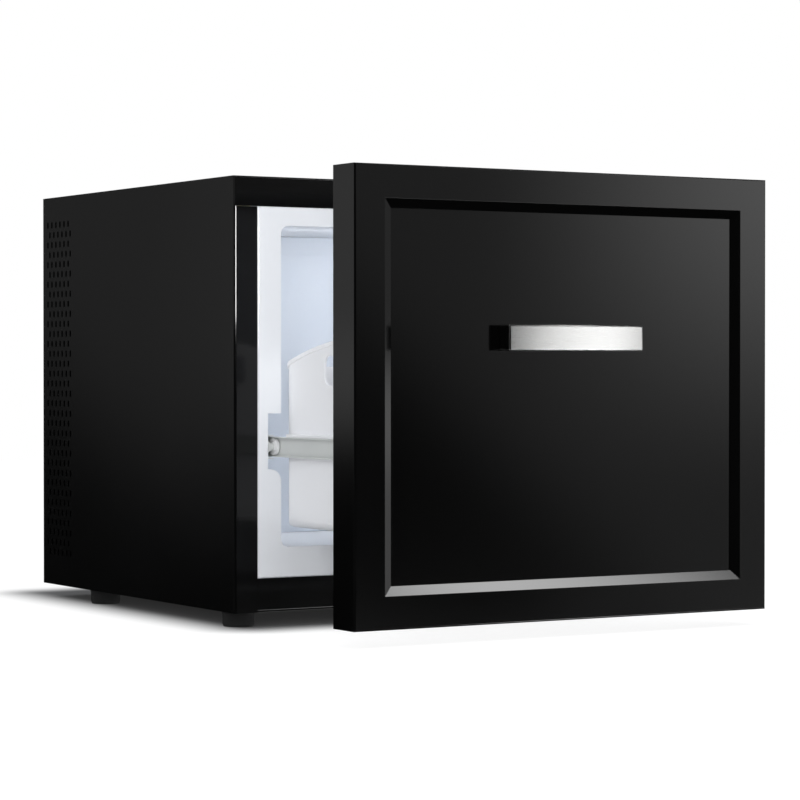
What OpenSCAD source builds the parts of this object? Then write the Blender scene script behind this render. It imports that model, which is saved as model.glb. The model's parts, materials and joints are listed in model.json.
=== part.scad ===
// Drawer-type hotel minibar: an insulated cabinet that a thermoelectric unit cools from behind,
// with one pull-out drawer on roller slides and a lift-out bin.
// Millimetres. +X is to the right, the drawer opens towards -Y and +Z is up.
// The feet stand on z = 0, and the drawer is drawn pulled out by drawer_out.

/* [Cabinet] */
// Outside width of the cabinet and of the drawer front
cabinet_w = 480; // [460:1:600]
// Outside height of the cabinet without its feet
cabinet_h = 436; // [425:1:560]
// Outside depth of the cabinet with the screw heads on its back
cabinet_d = 470; // [460:1:560]
// Thickness of the sheet-steel panels
sheet = 1; // [0.8:0.1:1.4]
// Outside radius of the folded front edges
fold_r = 2.5; // [2:0.1:4]
// Width of the folded stile on each side of the mouth
stile_w = 25.5; // [22:0.5:32]
// Height of the header that the top panel folds down
header_h = 30; // [26:0.5:40]
// Height of the sill that the base pan folds up
sill_h = 34; // [28:0.5:40]
// Width of the folds along the back edges
return_w = 14; // [12:0.5:18]
// Height of the feet
foot_h = 15; // [12:0.5:30]
// Radius of the feet
foot_r = 16.5; // [14:0.5:20]
// Distance of the front feet from the front of the cabinet
foot_front_y = 27; // [22:1:60]
// Distance of the rear feet from the front of the cabinet
foot_rear_y = 340; // [260:1:420]

/* [Vents] */
// Rows of ventilation slots in each side panel
vent_rows = 34; // [10:1:36]
// Slots in each row
vent_columns = 6; // [3:1:6]
// Height from one row to the next
vent_row_pitch = 11.15; // [9:0.05:11.3]
// Distance between the slots of a row
vent_column_pitch = 11; // [8:0.5:11.5]
// Height of one slot
vent_slot_h = 7.4; // [4:0.2:8]
// Width of one slot
vent_slot_w = 3.8; // [2:0.2:5]

/* [Liner] */
// Width of the liner's flange at each side of the mouth
flange_side = 26.5; // [22:0.5:36]
// Width of the flange above the mouth
flange_top = 19; // [14:0.5:30]
// Width of the flange below the mouth
flange_bottom = 31; // [20:0.5:40]
// How far the flange stands proud of the stiles
flange_proud = 1.2; // [0.5:0.1:2]
// Wall thickness of the liner
liner_t = 2.5; // [2:0.1:3.5]
// Inside depth of the liner
liner_d = 257; // [255:1:275]
// Corner radius of the liner's tub
liner_r = 8; // [4:0.5:20]
// Foam thickness behind the liner
foam_back = 40.5; // [36:0.5:50]
// Depth of the air duct in front of the liner's back wall
duct_d = 50; // [48:0.5:60]

/* [Slides] */
// Height of the slide's centre line above the liner's floor
slide_rise = 100.5; // [70:0.5:140]
// Length of the slide members
slide_len = 250; // [240:1:250]
// Height of the cabinet member
slide_h = 24; // [22:0.5:30]
// Depth of the recess that holds the slide
pocket_d = 15; // [15:0.5:20]
// Sheet thickness of the slide members
slide_t = 1.2; // [1:0.1:1.4]
// Height of the drawer member
rail_h = 20; // [17:0.5:22]
// Width of the nylon rollers
roller_w = 3.4; // [3:0.1:3.4]
// Radius of the rollers' axles
axle_r = 2.5; // [2:0.1:3]
// Distance of the fixed roller's axle behind the cabinet front
roller_in = 4.5; // [4.5:0.5:10]
// How far the drawer is drawn pulled out, from the cabinet front to its own back
drawer_out = 197; // [40:1:197]
// How much further the drawer opens to its stop
travel_more = 8; // [0:0.5:8]
// Gap between cabinet and drawer front when shut
closed_gap = 6; // [5:0.5:10]

/* [Drawer front] */
// Thickness of the drawer front
front_t = 40; // [36:0.5:60]
// How much lower the drawer front ends than the cabinet top
front_drop = 2; // [0:0.5:5]
// How much higher the drawer front starts than the cabinet bottom
front_lift = 1; // [0:0.5:5]
// Width of the flat border at the sides
border_side = 32.5; // [28:0.5:60]
// Width of the flat border at the top and the bottom
border_top = 31.5; // [24:0.5:60]
// Width of the sloped edge round the panel
bevel_w = 9; // [5:0.5:12]
// Depth of the sloped edge
bevel_d = 4.5; // [3:0.5:4.5]
// Radius of the front's outer edges
edge_r = 1.6; // [0.8:0.1:2.5]
// Wall thickness of the front's moulded frame
frame_t = 2.5; // [2:0.1:3]
// Thickness of the recessed panel
panel_t = 3; // [2:0.1:4]
// How far the inner lining stands into the mouth
plug_d = 16; // [12:0.5:18]

/* [Handle] */
// Length of the handle bar
handle_w = 156; // [120:1:200]
// Height of the handle bar
handle_h = 25; // [18:0.5:35]
// Thickness of the handle bar
handle_t = 3; // [2:0.1:5]
// How far the middle of the bar bows out beyond its ends
handle_bow = 3; // [1:0.5:6]
// How far the bar reaches out from the border
handle_reach = 16; // [14:0.5:40]
// Distance of the handle's centre line below the top of the drawer front
handle_drop = 160.5; // [60:0.5:200]
// Width of one handle post
post_w = 12; // [10:0.5:16]

/* [Bin] */
// Clearance between the bin's rim and the liner's side walls
bin_side_gap = 2; // [1.5:0.1:4]
// Height of the bin's floor above the liner's floor
bin_rise = 19; // [12:0.5:30]
// Height of the bin's rear rim above the liner's floor
bin_rear_h = 180; // [150:1:200]
// Height of the bin's front rim above the liner's floor
bin_front_h = 211; // [205:1:240]
// Wall thickness of the bin
bin_t = 2.5; // [2:0.1:3.5]
// Upright corner radius of the bin
bin_r = 25; // [12:0.5:35]
// Radius along the bin's lower edges
bin_foot_r = 16; // [6:0.5:20]
// Length of the hand hole in each side of the bin
hand_w = 62; // [50:1:90]
// Height of the hand hole
hand_h = 29; // [22:0.5:34]
// Corner radius of the hand holes
hand_r = 8; // [4:0.5:11]

/* [Cooling unit] */
// Height of the cooling unit's centre above the liner's floor
te_rise = 120; // [80:1:150]
// Side of the thermoelectric module
te_size = 40; // [30:1:44]
// Thickness of the thermoelectric module
te_t = 3.8; // [3:0.1:5]
// Side of the hot side's fan
hot_fan_w = 92; // [88:1:96]
// Thickness of the hot side's fan
hot_fan_t = 25; // [20:0.5:28]
// Hole spacing of the hot side's fan
hot_fan_pitch = 82.5; // [78:0.5:84]
// Side of the cold side's fan
cold_fan_w = 80; // [76:1:84]
// Thickness of the cold side's fan
cold_fan_t = 15; // [12:0.5:16]
// Hole spacing of the cold side's fan
cold_fan_pitch = 71.5; // [68:0.5:72]
// Length of the hot sink's fins
hot_fin = 50; // [30:1:60]
// Height of the temperature dial above the liner's floor
dial_rise = 228; // [215:1:260]

/* [Hidden] */
$fn = 48;

touch = 0.05;     // radial clearance of a screw or shaft in its own hole
clear = 0.3;      // gap between pieces that only lie near each other
over = 1;         // how far a cutting shape runs past what it cuts
merge = 0.01;     // how far two bodies of one piece reach into each other
rear_proud = 2.4; // what stands out behind the back panel

// Colours
black = [0.05, 0.05, 0.055];
white = [0.9, 0.91, 0.93];
ice = [0.78, 0.83, 0.9];
steel = [0.7, 0.71, 0.72];
dark = [0.12, 0.12, 0.13];

// Cabinet: the front plane of the stiles is y = 0 in the cabinet's own space
half_w = cabinet_w / 2;
low = foot_h;
high = foot_h + cabinet_h;
back_y = cabinet_d - rear_proud;
inside_w = half_w - sheet;
lip = 10;         // folded lips that the side panels are fixed to
foot_x = half_w - foot_r - 1.5;

// Liner
mouth_w = half_w - stile_w - flange_side;
floor_z = low + sill_h + flange_bottom;
ceiling_z = high - header_h - flange_top;
mid_z = (floor_z + ceiling_z) / 2;
flange_w = half_w - stile_w - clear;
flange_low = low + sill_h + clear;
flange_high = high - header_h - clear;
tuck = 7;         // how far the liner reaches behind the stiles
bulk_y = liner_d + liner_t + foam_back;
duct_y = liner_d - duct_d;

// Slides
slide_z = floor_z + slide_rise;
pocket_below = 10.5;                              // recess under and over the cabinet member
pocket_above = 21.5;
pocket_low = slide_z - slide_h / 2 - pocket_below;
pocket_high = slide_z + slide_h / 2 + pocket_above;
pocket_x = mouth_w + pocket_d;
pocket_curve = pocket_d - 3;                      // radius of the recess's lower front edge
slide_front = 0.5;
outer_reach = 7;                                  // depth of the cabinet member's channel
inner_x = mouth_w + 1;                            // face of the drawer member towards the bin
inner_reach = inner_x - mouth_w + 5.5;            // depth of the drawer member's channel
inner_front = 3;                                  // drawer member's start behind the drawer front
rivet_r = axle_r + 1.1;                           // head and collar of a roller's axle
rivet_t = 0.6;
collar_r = axle_r + 1.5;
gap = 0.1;                                        // end play of a roller on its axle
front_roller_r = rail_h / 2 - slide_t - clear;
front_roller_x = inner_x + slide_t + 2 * clear + rivet_t + gap;
rear_roller_r = slide_h / 2 - slide_t - clear;
rear_roller_x = pocket_x - slide_t - 0.5 - rivet_t - gap - roller_w;
rear_roller_y = inner_front + slide_len - rear_roller_r - 0.5;
slide_screw_y = [0.12, 0.5, 0.88];                // slide screws, as shares of the member's length
stop_h = 3;                                       // lug that the rear roller stops against
stop_reach = sqrt(pow(rear_roller_r, 2) - pow(rear_roller_r - stop_h, 2));
stop_y = rear_roller_y - drawer_out - travel_more - stop_reach - touch;

// Drawer front: y = 0 is its back plane in the drawer's own space
front_low = low + front_lift;
front_high = high - front_drop;
front_mid = (front_low + front_high) / 2;
front_h = front_high - front_low;
window_w = half_w - border_side - bevel_w;
window_h = front_h / 2 - border_top - bevel_w;
panel_y = -(front_t - bevel_d - 1);               // face of the recessed panel
panel_lap = 6.5;
core_y = panel_y + panel_t;                       // back of the panel
skin = 3;                                         // thickness of the drawer's inner lining
plug_w = mouth_w - 28;
plug_low = floor_z + 15;
plug_high = ceiling_z - 14;
gasket_w = 14;
gasket_x = half_w - stile_w / 2 - 1.5;
gasket_seat = 2;
gasket_low = low + sill_h / 2;
gasket_high = high - header_h / 2;

// Handle
handle_z = front_high - handle_drop;
bow_r = (pow(handle_w / 2, 2) + pow(handle_bow, 2)) / (2 * handle_bow);
handle_y = -(front_t + handle_reach);
post_x = handle_w / 2 - post_w / 2 - 1;
post_h = handle_h - 3;
handle_screw_len = 11;                            // depth of the handle's screws in their posts

// Brackets that tie the drawer members to the drawer front
bracket_t = 1.5;
bracket_h = 30;
bracket_len = 46;
bracket_foot = 24;
bracket_screw_y = [14, 34];
bracket_screw_z = 9;
bracket_screw_in = 7;                             // distance of the front screws from the foot's end
bracket_screw_len = 12;
bracket_head = [3.6, 2];                          // radius and height of the front screws' heads
bracket_side_head = [3.4, 1];

// Bin, in the drawer's own space
bin_front = plug_d + 6;
bin_back = duct_y - 8 + closed_gap;
bin_lip = 1.5;
bin_w = mouth_w - bin_side_gap - bin_lip;
bin_low = floor_z + bin_rise;
bin_rear_z = floor_z + bin_rear_h;
bin_top_z = floor_z + bin_front_h;
bin_len = bin_back - bin_front;
rim_r = (pow(bin_len, 2) + pow(bin_top_z - bin_rear_z, 2)) / (2 * (bin_top_z - bin_rear_z));
rim_h = 4;
hanger_z = slide_z + rail_h / 2;
hand_z = floor_z + bin_rear_h - 3;
hand_y = bin_front + bin_len / 3;

// Cooling unit
te_z = floor_z + te_rise;
block_w = te_size + 10;
sink_w = 130;
sink_h = 112;
sink_base = 8;
cold_h = 92;
cold_base = 5;
cold_y = liner_d - 1;                             // back of the cold sink's base
hot_y = bulk_y + te_t;                            // front of the hot sink's base
hot_fan_y = hot_y + sink_base + hot_fin;
fin_pitch = hot_fan_pitch / 15;
bolt_x = sink_w / 2 - 7;
bolt_z = cold_h / 2 - 8;
cover_t = 2.2;
cold_fan_y = duct_y + cover_t;
dial_x = mouth_w - 58;
dial_z = floor_z + dial_rise;
bolt_r = 2;
screw_r = 2;
small_r = 1.5;
shaft_r = 1.5;
dial_shaft_r = 3;
wire_hole_r = 5;

// Electrics
inlet_x = half_w - 50;
board_x = inlet_x - 25;
board_y = bulk_y + 68;
board_w = 104;
board_d = 92;
board_z = low + sheet + 14;
board_t = 1.6;
board_edge = 5;   // from the board's edges to the middles of its spacers
spacer_r = 3.5;
pin_h = 4;        // spacer pin above the board's underside

// What stands on the board: sizes, and places from the board's middle
choke = [34, 34, 26];
choke_at = [-42, -30, 0];
cap_r = 6.2;
cap_h = 24;
cap_pitch = 15;
cap_at = [4, -24, 0];
cooler = [40, 6, 22];
cooler_at = [0, -6, 0];
cooler_fin = [2, 12, 20];
cooler_pitch = 12;
mains_block = [28, 12, 11];
mains_block_at = [-40, 18, 0];
output_block = [36, 12, 11];
output_block_at = [0, 20, 0];
reed_x = mouth_w - 38;
reed_z = ceiling_z + liner_t + 2;
inlet_z = low + 48;
inlet_w = 28;
inlet_h = 21;
lamp_y = 74;
lamp_w = 90;
lamp_d = 24;
drain_z = floor_z + 5;
drain_r = 5;
drain_bend = 16;
drain_y = bulk_y + 30;
tray_w = 160;
tray_d = 116;
tray_h = 18;

// The row's origin is in the middle of the footprint of cabinet and open drawer
face_y = (drawer_out + front_t + handle_reach - cabinet_d) / 2;

module at_cabinet() {
    translate([0, face_y, 0]) children();
}

module at_drawer() {
    translate([0, face_y - drawer_out, 0]) children();
}

// Builds a left-hand piece, or its mirror image for the right-hand side
module on_side(side) {
    if (side < 0) children();
    else mirror([1, 0, 0]) children();
}

module both_sides() {
    children();
    mirror([1, 0, 0]) children();
}

// A box from two corners
module block(from, to) {
    translate(from) cube(to - from);
}

module rounded(w, h, r) {
    square([w - 2 * r, h], center = true);
    square([w, h - 2 * r], center = true);
    for (x = [-1, 1], y = [-1, 1]) translate([x * (w / 2 - r), y * (h / 2 - r)]) circle(r);
}

// A rounded plate that stands upright, from y to y + t, around a centre height
module upright(w, low_z, high_z, r, y, t) {
    translate([0, y + t, (low_z + high_z) / 2]) rotate([90, 0, 0])
        linear_extrude(t) rounded(2 * w, high_z - low_z, r);
}

// A cylinder along +Y
module rod(x, y, z, r, len) {
    translate([x, y, z]) rotate([-90, 0, 0]) cylinder(h = len, r = r);
}

// A screw along +Y: its head lies in front of y, and its shank runs to y + len
module screw(x, y, z, r, len, head_r, head_h) {
    rod(x, y - head_h / 2, z, r, len + head_h / 2);
    rod(x, y - head_h, z, head_r, head_h);
}

module obround(w, h) {
    r = w / 2;
    square([w, h - w], center = true);
    for (y = [-1, 1]) translate([0, y * (h / 2 - r)]) circle(r, $fn = 24);
}

// A quarter ring that turns a flat sheet round the corner at the origin
module fold_corner(r) {
    difference() {
        intersection() {
            square(r);
            translate([r, r]) circle(r);
        }
        intersection() {
            translate([sheet, sheet]) square(r);
            translate([r, r]) circle(r - sheet);
        }
    }
}

// ---- Cabinet ----

module side_profile() {
    translate([-half_w, 0]) fold_corner(fold_r);
    translate([-half_w, fold_r]) square([sheet, back_y - sheet - fold_r]);
    translate([-half_w + fold_r, 0]) square([stile_w - fold_r, sheet]);
    translate([-half_w, back_y - 2 * sheet]) square([return_w, sheet]);
}

module side_vents() {
    pitch = vent_column_pitch;
    top_row = high - 31;
    for (row = [0 : vent_rows - 1], column = [0 : vent_columns - 1])
        translate([-half_w - over, back_y - 14 - pitch * (column + (row % 2) / 2),
                top_row - row * vent_row_pitch])
            rotate([90, 0, 90]) linear_extrude(sheet + 2 * over) obround(vent_slot_w, vent_slot_h);
}

module side_panel(side) {
    color(black) at_cabinet() on_side(side) difference() {
        translate([0, 0, low]) linear_extrude(cabinet_h - sheet) side_profile();
        block([-half_w - over, -over, high - header_h - clear],
            [-half_w + stile_w + over, sheet + clear, high]);
        block([-half_w - over, -over, high - fold_r],
            [-half_w + stile_w + over, fold_r + clear, high]);
        side_vents();
        for (z = back_screw_z()) rod(-half_w + return_w / 2, back_y - 3 * sheet, z,
            screw_r + touch, 3 * sheet);
    }
}

function back_screw_z() = [low + 40, (low + high) / 2, high - 40];

module top_panel() {
    color(black) at_cabinet() {
        rotate([90, 0, 90]) translate([0, 0, -half_w]) linear_extrude(cabinet_w) {
            translate([0, high]) mirror([0, 1]) fold_corner(fold_r);
            translate([fold_r, high - sheet]) square([back_y - sheet - fold_r, sheet]);
            translate([0, high - header_h]) square([sheet, header_h - fold_r]);
        }
        both_sides() block([-inside_w, fold_r + 2, high - sheet - lip],
            [-inside_w + sheet, back_y - 3 * sheet - 1, high - sheet / 2]);
        difference() {
            block([-half_w + return_w + clear, back_y - 2 * sheet, high - sheet - return_w],
                [half_w - return_w - clear, back_y - sheet, high - sheet / 2]);
            rod(0, back_y - 3 * sheet, high - sheet - return_w / 2, screw_r + touch, 3 * sheet);
        }
    }
}

module base_pan() {
    sill_w = half_w - stile_w - clear;
    color(black) at_cabinet() difference() {
        union() {
            rotate([90, 0, 90]) translate([0, 0, -sill_w]) linear_extrude(2 * sill_w) {
                translate([0, low]) fold_corner(fold_r);
                translate([0, low + fold_r]) square([sheet, sill_h - fold_r]);
                translate([fold_r, low]) square([back_y - sheet - fold_r, sheet]);
            }
            block([-inside_w, fold_r + 2, low], [inside_w, back_y - 2 * sheet - clear, low + sheet]);
            both_sides() block([-inside_w, fold_r + 2, low],
                [-inside_w + sheet, back_y - 3 * sheet - 1, low + sheet + lip]);
            block([-half_w + return_w + clear, back_y - 2 * sheet, low],
                [half_w - return_w - clear, back_y - sheet, low + sheet + return_w]);
        }
        for (x = [-1, 1], y = [foot_front_y, foot_rear_y])
            translate([x * foot_x, y, low - over]) cylinder(h = sheet + 2 * over,
                r = screw_r + touch);
        rod(0, back_y - 3 * sheet, low + sheet + return_w / 2, screw_r + touch, 3 * sheet);
        base_slots();
    }
}

// Air intake under the machine compartment, beside the drip tray
module base_slots() {
    for (i = [0 : 8]) translate([-half_w + 50 + 10 * i, bulk_y + 65, low - over])
        linear_extrude(sheet + 2 * over) obround(4, 70);
}

module back_panel() {
    edge = 1;
    color(black) at_cabinet() difference() {
        block([-half_w + edge, back_y - sheet, low + edge],
            [half_w - edge, back_y, high - sheet - clear]);
        for (x = [-1, 1], z = back_screw_z())
            rod(x * (half_w - return_w / 2), back_y - 2 * sheet, z, screw_r + touch, 3 * sheet);
        for (z = [high - sheet - return_w / 2, low + sheet + return_w / 2])
            rod(0, back_y - 2 * sheet, z, screw_r + touch, 3 * sheet);
        block([inlet_x - inlet_w / 2 - touch, back_y - 2 * sheet, inlet_z - inlet_h / 2 - touch],
            [inlet_x + inlet_w / 2 + touch, back_y + sheet, inlet_z + inlet_h / 2 + touch]);
        for (row = [0 : 15], column = [-2 : 2])
            translate([column * 50, back_y + sheet, te_z - 60 + 13 * row])
                rotate([90, 90, 0]) linear_extrude(3 * sheet) obround(4, 38);
    }
}

module bulkhead() {
    window = block_w / 2 + 4;
    color(steel) at_cabinet() difference() {
        block([-inside_w + sheet + clear, bulk_y, low + sheet + clear],
            [inside_w - sheet - clear, bulk_y + sheet, high - sheet - clear]);
        block([-window, bulk_y - over, te_z - window],
            [window, bulk_y + sheet + over, te_z + window]);
        sink_bolt_holes(bulk_y - over, sheet + 2 * over);
        rod(0, bulk_y - over, drain_z, drain_r + touch, sheet + 2 * over);
        rod(dial_x, bulk_y - over, dial_z, wire_hole_r, sheet + 2 * over);
    }
}

module sink_bolt_holes(y, len) {
    for (x = [-1, 1], z = [-1, 1])
        rod(x * bolt_x, y, te_z + z * bolt_z, bolt_r + touch, len);
}

// Outer shape of the tub and of its slide recesses, grown by a wall
module tub(grow, front) {
    upright(mouth_w + grow, floor_z - grow, ceiling_z + grow, liner_r + grow, front,
        liner_d + grow - front);
    block([-pocket_x - grow, front, pocket_low - grow],
        [pocket_x + grow, liner_d + grow, pocket_high + grow]);
    both_sides() pocket_flare(grow, front);
}

// Rounds the edge between the recess's floor and the tub's wall
module pocket_flare(grow, front) {
    r = pocket_curve;
    translate([-mouth_w - r, liner_d + grow, pocket_low - r]) rotate([90, 0, 0])
        linear_extrude(liner_d + grow - front) difference() {
            square(r + over);
            circle(r - grow);
        }
}

module insulation_foam() {
    side = inside_w - sheet - clear;
    channel = block_w / 2 + touch;
    color([0.93, 0.88, 0.7]) at_cabinet() difference() {
        block([-side, sheet + 2 + clear, low + sheet + clear],
            [side, bulk_y, high - sheet - clear]);
        tub(liner_t, -over);
        block([-channel, 0, te_z - channel], [channel, bulk_y + over, te_z + channel]);
        sink_bolt_holes(liner_d, bulk_y);
        rod(0, liner_d, drain_z, drain_r + touch, bulk_y);
        rod(dial_x, liner_d, dial_z, wire_hole_r, bulk_y);
        lamp_pocket(clear);
        reed_shape(clear);
        for (x = [-1, 1], y = [foot_front_y, foot_rear_y])
            translate([x * foot_x, y, low]) cylinder(h = sheet + 5 + clear, r = screw_r + clear);
        cover_screw_places() rod(0, liner_d, 0, small_r + clear, liner_t + over);
        both_sides() slide_screw_places() slide_shank();
    }
}

module slide_shank() {
    rotate([0, -90, 0]) cylinder(h = 14, r = screw_r + touch);
}

module inner_liner() {
    channel = block_w / 2 + touch;
    color(white) at_cabinet() difference() {
        union() {
            upright(flange_w, flange_low, flange_high, 3, -flange_proud, flange_proud + sheet);
            upright(flange_w + tuck, flange_low - tuck, flange_high + tuck, 3, sheet, 2);
            tub(liner_t, sheet);
        }
        upright(mouth_w, floor_z, ceiling_z, liner_r, -over - flange_proud,
            liner_d + over + flange_proud);
        both_sides() {
            block([-pocket_x, -over - flange_proud, pocket_low],
                [-mouth_w + over, liner_d, pocket_high]);
            pocket_flare(0, -over - flange_proud);
        }
        flange_chamfers();
        block([-channel, liner_d - over, te_z - channel],
            [channel, liner_d + liner_t + over, te_z + channel]);
        sink_bolt_holes(liner_d - over, liner_t + 2 * over);
        rod(0, liner_d - over, drain_z, drain_r + touch, liner_t + 2 * over);
        rod(dial_x, liner_d - over, dial_z, wire_hole_r, liner_t + 2 * over);
        lamp_pocket(touch);
        cover_screw_places() rod(0, liner_d - over, 0, small_r + touch, liner_t + 2 * over);
        both_sides() slide_screw_places() slide_shank();
    }
}

// The flange's outer front edges are cut at 45 degrees
module flange_chamfers() {
    cut = 0.8;
    both_sides() translate([-flange_w, -flange_proud, 0]) rotate([0, 0, 45])
        translate([-cut, -cut, 0]) cube([2 * cut, 2 * cut * 0.707, high]);
    for (z = [flange_low, flange_high]) translate([0, -flange_proud, z]) rotate([45, 0, 0])
        cube([cabinet_w, cut * 1.414, cut * 1.414], center = true);
}

module foot(x, y) {
    color(dark) at_cabinet() translate([x * foot_x, y, 0]) difference() {
        union() {
            cylinder(h = 3, r1 = foot_r - 1.5, r2 = foot_r - 0.5);
            translate([0, 0, 3]) cylinder(h = foot_h - 3, r = foot_r - 0.5);
            translate([0, 0, foot_h - 2]) cylinder(h = 2, r = foot_r);
        }
        translate([0, 0, -over]) cylinder(h = foot_h / 2 + over, r = 5);
        cylinder(h = foot_h + over, r = screw_r + touch);
    }
}

// Each foot is held from below, with the screw's head inside the foot
module foot_screw(x, y) {
    translate([x, y, foot_h / 2]) rotate([90, 0, 0])
        screw(0, 0, 0, screw_r, foot_h / 2 + sheet + 5, 3.8, 2.2);
}

module back_screw(x, z) {
    translate([x, back_y, z]) mirror([0, 1, 0]) screw(0, 0, 0, screw_r, 10, 3.8, 2.2);
}

module case_screws() {
    color(steel) at_cabinet() {
        for (x = [-1, 1], z = back_screw_z()) back_screw(x * (half_w - return_w / 2), z);
        back_screw(0, high - sheet - return_w / 2);
        back_screw(0, low + sheet + return_w / 2);
        for (x = [-1, 1], y = [foot_front_y, foot_rear_y]) foot_screw(x * foot_x, y);
    }
}

// ---- Slides ----

// A channel that opens towards +X, from its web at x = 0
module channel(deep, h, t) {
    translate([0, -h / 2]) square([t, h]);
    for (z = [-h / 2, h / 2 - t]) translate([0, z]) square([deep, t]);
}

// An axle along +X from x = 0: a collar, the roller's seat and a riveted head
module axle(collar) {
    seat = collar + roller_w + 2 * gap;
    rotate([0, 90, 0]) {
        cylinder(h = collar, r = collar_r);
        cylinder(h = seat + rivet_t, r = axle_r);
        translate([0, 0, seat]) cylinder(h = rivet_t, r = rivet_r);
    }
}

// A nylon roller from x = 0, dished on both faces
module roller(r) {
    dish = 0.5;
    rotate([0, 90, 0]) difference() {
        cylinder(h = roller_w, r = r, $fn = 96);
        translate([0, 0, -over]) cylinder(h = roller_w + 2 * over, r = axle_r + touch);
        for (z = [-over, roller_w - dish]) translate([0, 0, z]) difference() {
            cylinder(h = dish + over, r = r - 1.4);
            cylinder(h = dish + over, r = rivet_r + 0.6);
        }
    }
}

// The cabinet member opens towards the drawer, and carries the fixed roller near its front end
// and the stop of the drawer behind it
module slide_outer(side) {
    web = -pocket_x + slide_t;
    color(steel) at_cabinet() on_side(side) {
        difference() {
            translate([-pocket_x, slide_front + slide_len, slide_z]) rotate([90, 0, 0])
                linear_extrude(slide_len) channel(outer_reach, slide_h, slide_t);
            slide_screw_places() slide_screw(touch);
        }
        translate([web - slide_t / 2, roller_in, slide_z])
            axle(-front_roller_x - roller_w - gap - web + slide_t / 2);
        block([web - slide_t / 2, stop_y - stop_h, slide_z - slide_h / 2 + slide_t / 2],
            [-rear_roller_x, stop_y, slide_z - rear_roller_r + stop_h]);
    }
}

module slide_screw_places() {
    for (share = slide_screw_y)
        translate([-pocket_x, slide_front + share * slide_len, slide_z]) children();
}

// A countersunk screw through the member's web into the wall of the recess
module slide_screw(grow) {
    rotate([0, -90, 0]) cylinder(h = 13, r = screw_r + grow);
    translate([-touch, 0, 0]) rotate([0, 90, 0])
        cylinder(h = slide_t + touch, r1 = screw_r + grow, r2 = screw_r + 1.4 + grow);
    if (grow > 0) translate([slide_t, 0, 0]) rotate([0, 90, 0])
        cylinder(h = over, r = screw_r + 1.4 + grow);
}

module slide_screws() {
    color(steel) at_cabinet() both_sides() slide_screw_places() slide_screw(0);
}

// The fixed roller carries the drawer member, the other runs in the cabinet member
module front_roller(side) {
    color(white) at_cabinet() on_side(side)
        translate([-front_roller_x - roller_w, roller_in, slide_z]) roller(front_roller_r);
}

module rear_roller(side) {
    color(white) at_drawer() on_side(side)
        translate([-rear_roller_x - roller_w, rear_roller_y, slide_z]) roller(rear_roller_r);
}

// The drawer member runs from behind the drawer front, and its web faces the bin
module slide_inner(side) {
    web = -inner_x - slide_t;
    color(steel) at_drawer() on_side(side) {
        difference() {
            translate([-inner_x, inner_front + slide_len, slide_z]) rotate([90, 0, 0])
                linear_extrude(slide_len) mirror([1, 0]) channel(inner_reach, rail_h, slide_t);
            bracket_side_screws(screw_r + touch, over);
        }
        translate([web + slide_t / 2, rear_roller_y, slide_z]) mirror([1, 0, 0])
            axle(rear_roller_x - gap + web + slide_t / 2);
    }
}

// ---- Cooling unit ----

module evaporator_cover() {
    side = mouth_w - 2;
    top = ceiling_z - clear;
    bottom = floor_z + clear;
    color(ice) at_cabinet() difference() {
        upright(side, bottom, top, liner_r - 1, duct_y, duct_d - clear);
        difference() {
            block([-side + cover_t, duct_y + cover_t, bottom + cover_t],
                [side - cover_t, liner_d + over, top - cover_t]);
            cover_screw_places() rod(0, duct_y, 0, 5, duct_d + over);
        }
        cover_grille();
        cover_outlets();
        cover_screw_places() rod(0, duct_y - over, 0, small_r + touch, duct_d + 2 * over);
        for (x = [-1, 1], z = [-1, 1])
            rod(x * cold_fan_pitch / 2, duct_y - over, te_z + z * cold_fan_pitch / 2,
                small_r + touch, cover_t + 2 * over);
        rod(dial_x, duct_y - over, dial_z, dial_shaft_r + clear, cover_t + 2 * over);
    }
}

module cover_screw_places() {
    for (x = [-1, 1], z = [-1, 1])
        translate([x * (mouth_w - 16), 0, mid_z + z * ((ceiling_z - floor_z) / 2 - 16)])
            children();
}

// Ring slots in front of the cold fan, kept together by four spokes
module cover_grille() {
    for (r = [14 : 8 : 34]) difference() {
        rod(0, duct_y - over, te_z, r + 3.5, cover_t + 2 * over);
        rod(0, duct_y - 2 * over, te_z, r, cover_t + 4 * over);
        for (turn = [45, 135]) translate([0, duct_y, te_z]) rotate([0, turn, 0])
            cube([5, 6 * cover_t, 90], center = true);
    }
}

module cover_outlets() {
    for (x = [-1, 1], row = [0 : 4])
        translate([x * 110, duct_y + cover_t + over, ceiling_z - 22 - 9 * row])
            rotate([90, 90, 0]) linear_extrude(cover_t + 2 * over) obround(4, 60);
}

module cover_screws() {
    color(white) at_cabinet() cover_screw_places()
        screw(0, duct_y, 0, small_r, duct_d + liner_t, 2.8, 1.6);
}

// An axial fan's frame, blowing along +Y, with its motor bracket at the far side
module fan_frame(w, t, pitch, hole_r) {
    bore = w / 2 - 2;
    hub = w / 6;
    plate = 2.5;
    difference() {
        union() {
            difference() {
                upright(w / 2, -w / 2, w / 2, 4, 0, t);
                rod(0, -over, 0, bore, t + 2 * over);
            }
            rod(0, t - plate, 0, hub, plate);
            rod(0, 3, 0, shaft_r, t - 3);
            for (turn = [45 : 90 : 315]) rotate([0, turn, 0])
                block([-2, t - plate, hub - 1], [2, t, bore + 1]);
        }
        for (x = [-1, 1], z = [-1, 1])
            rod(x * pitch / 2, -over, z * pitch / 2, hole_r, t + 2 * over);
    }
}

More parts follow.
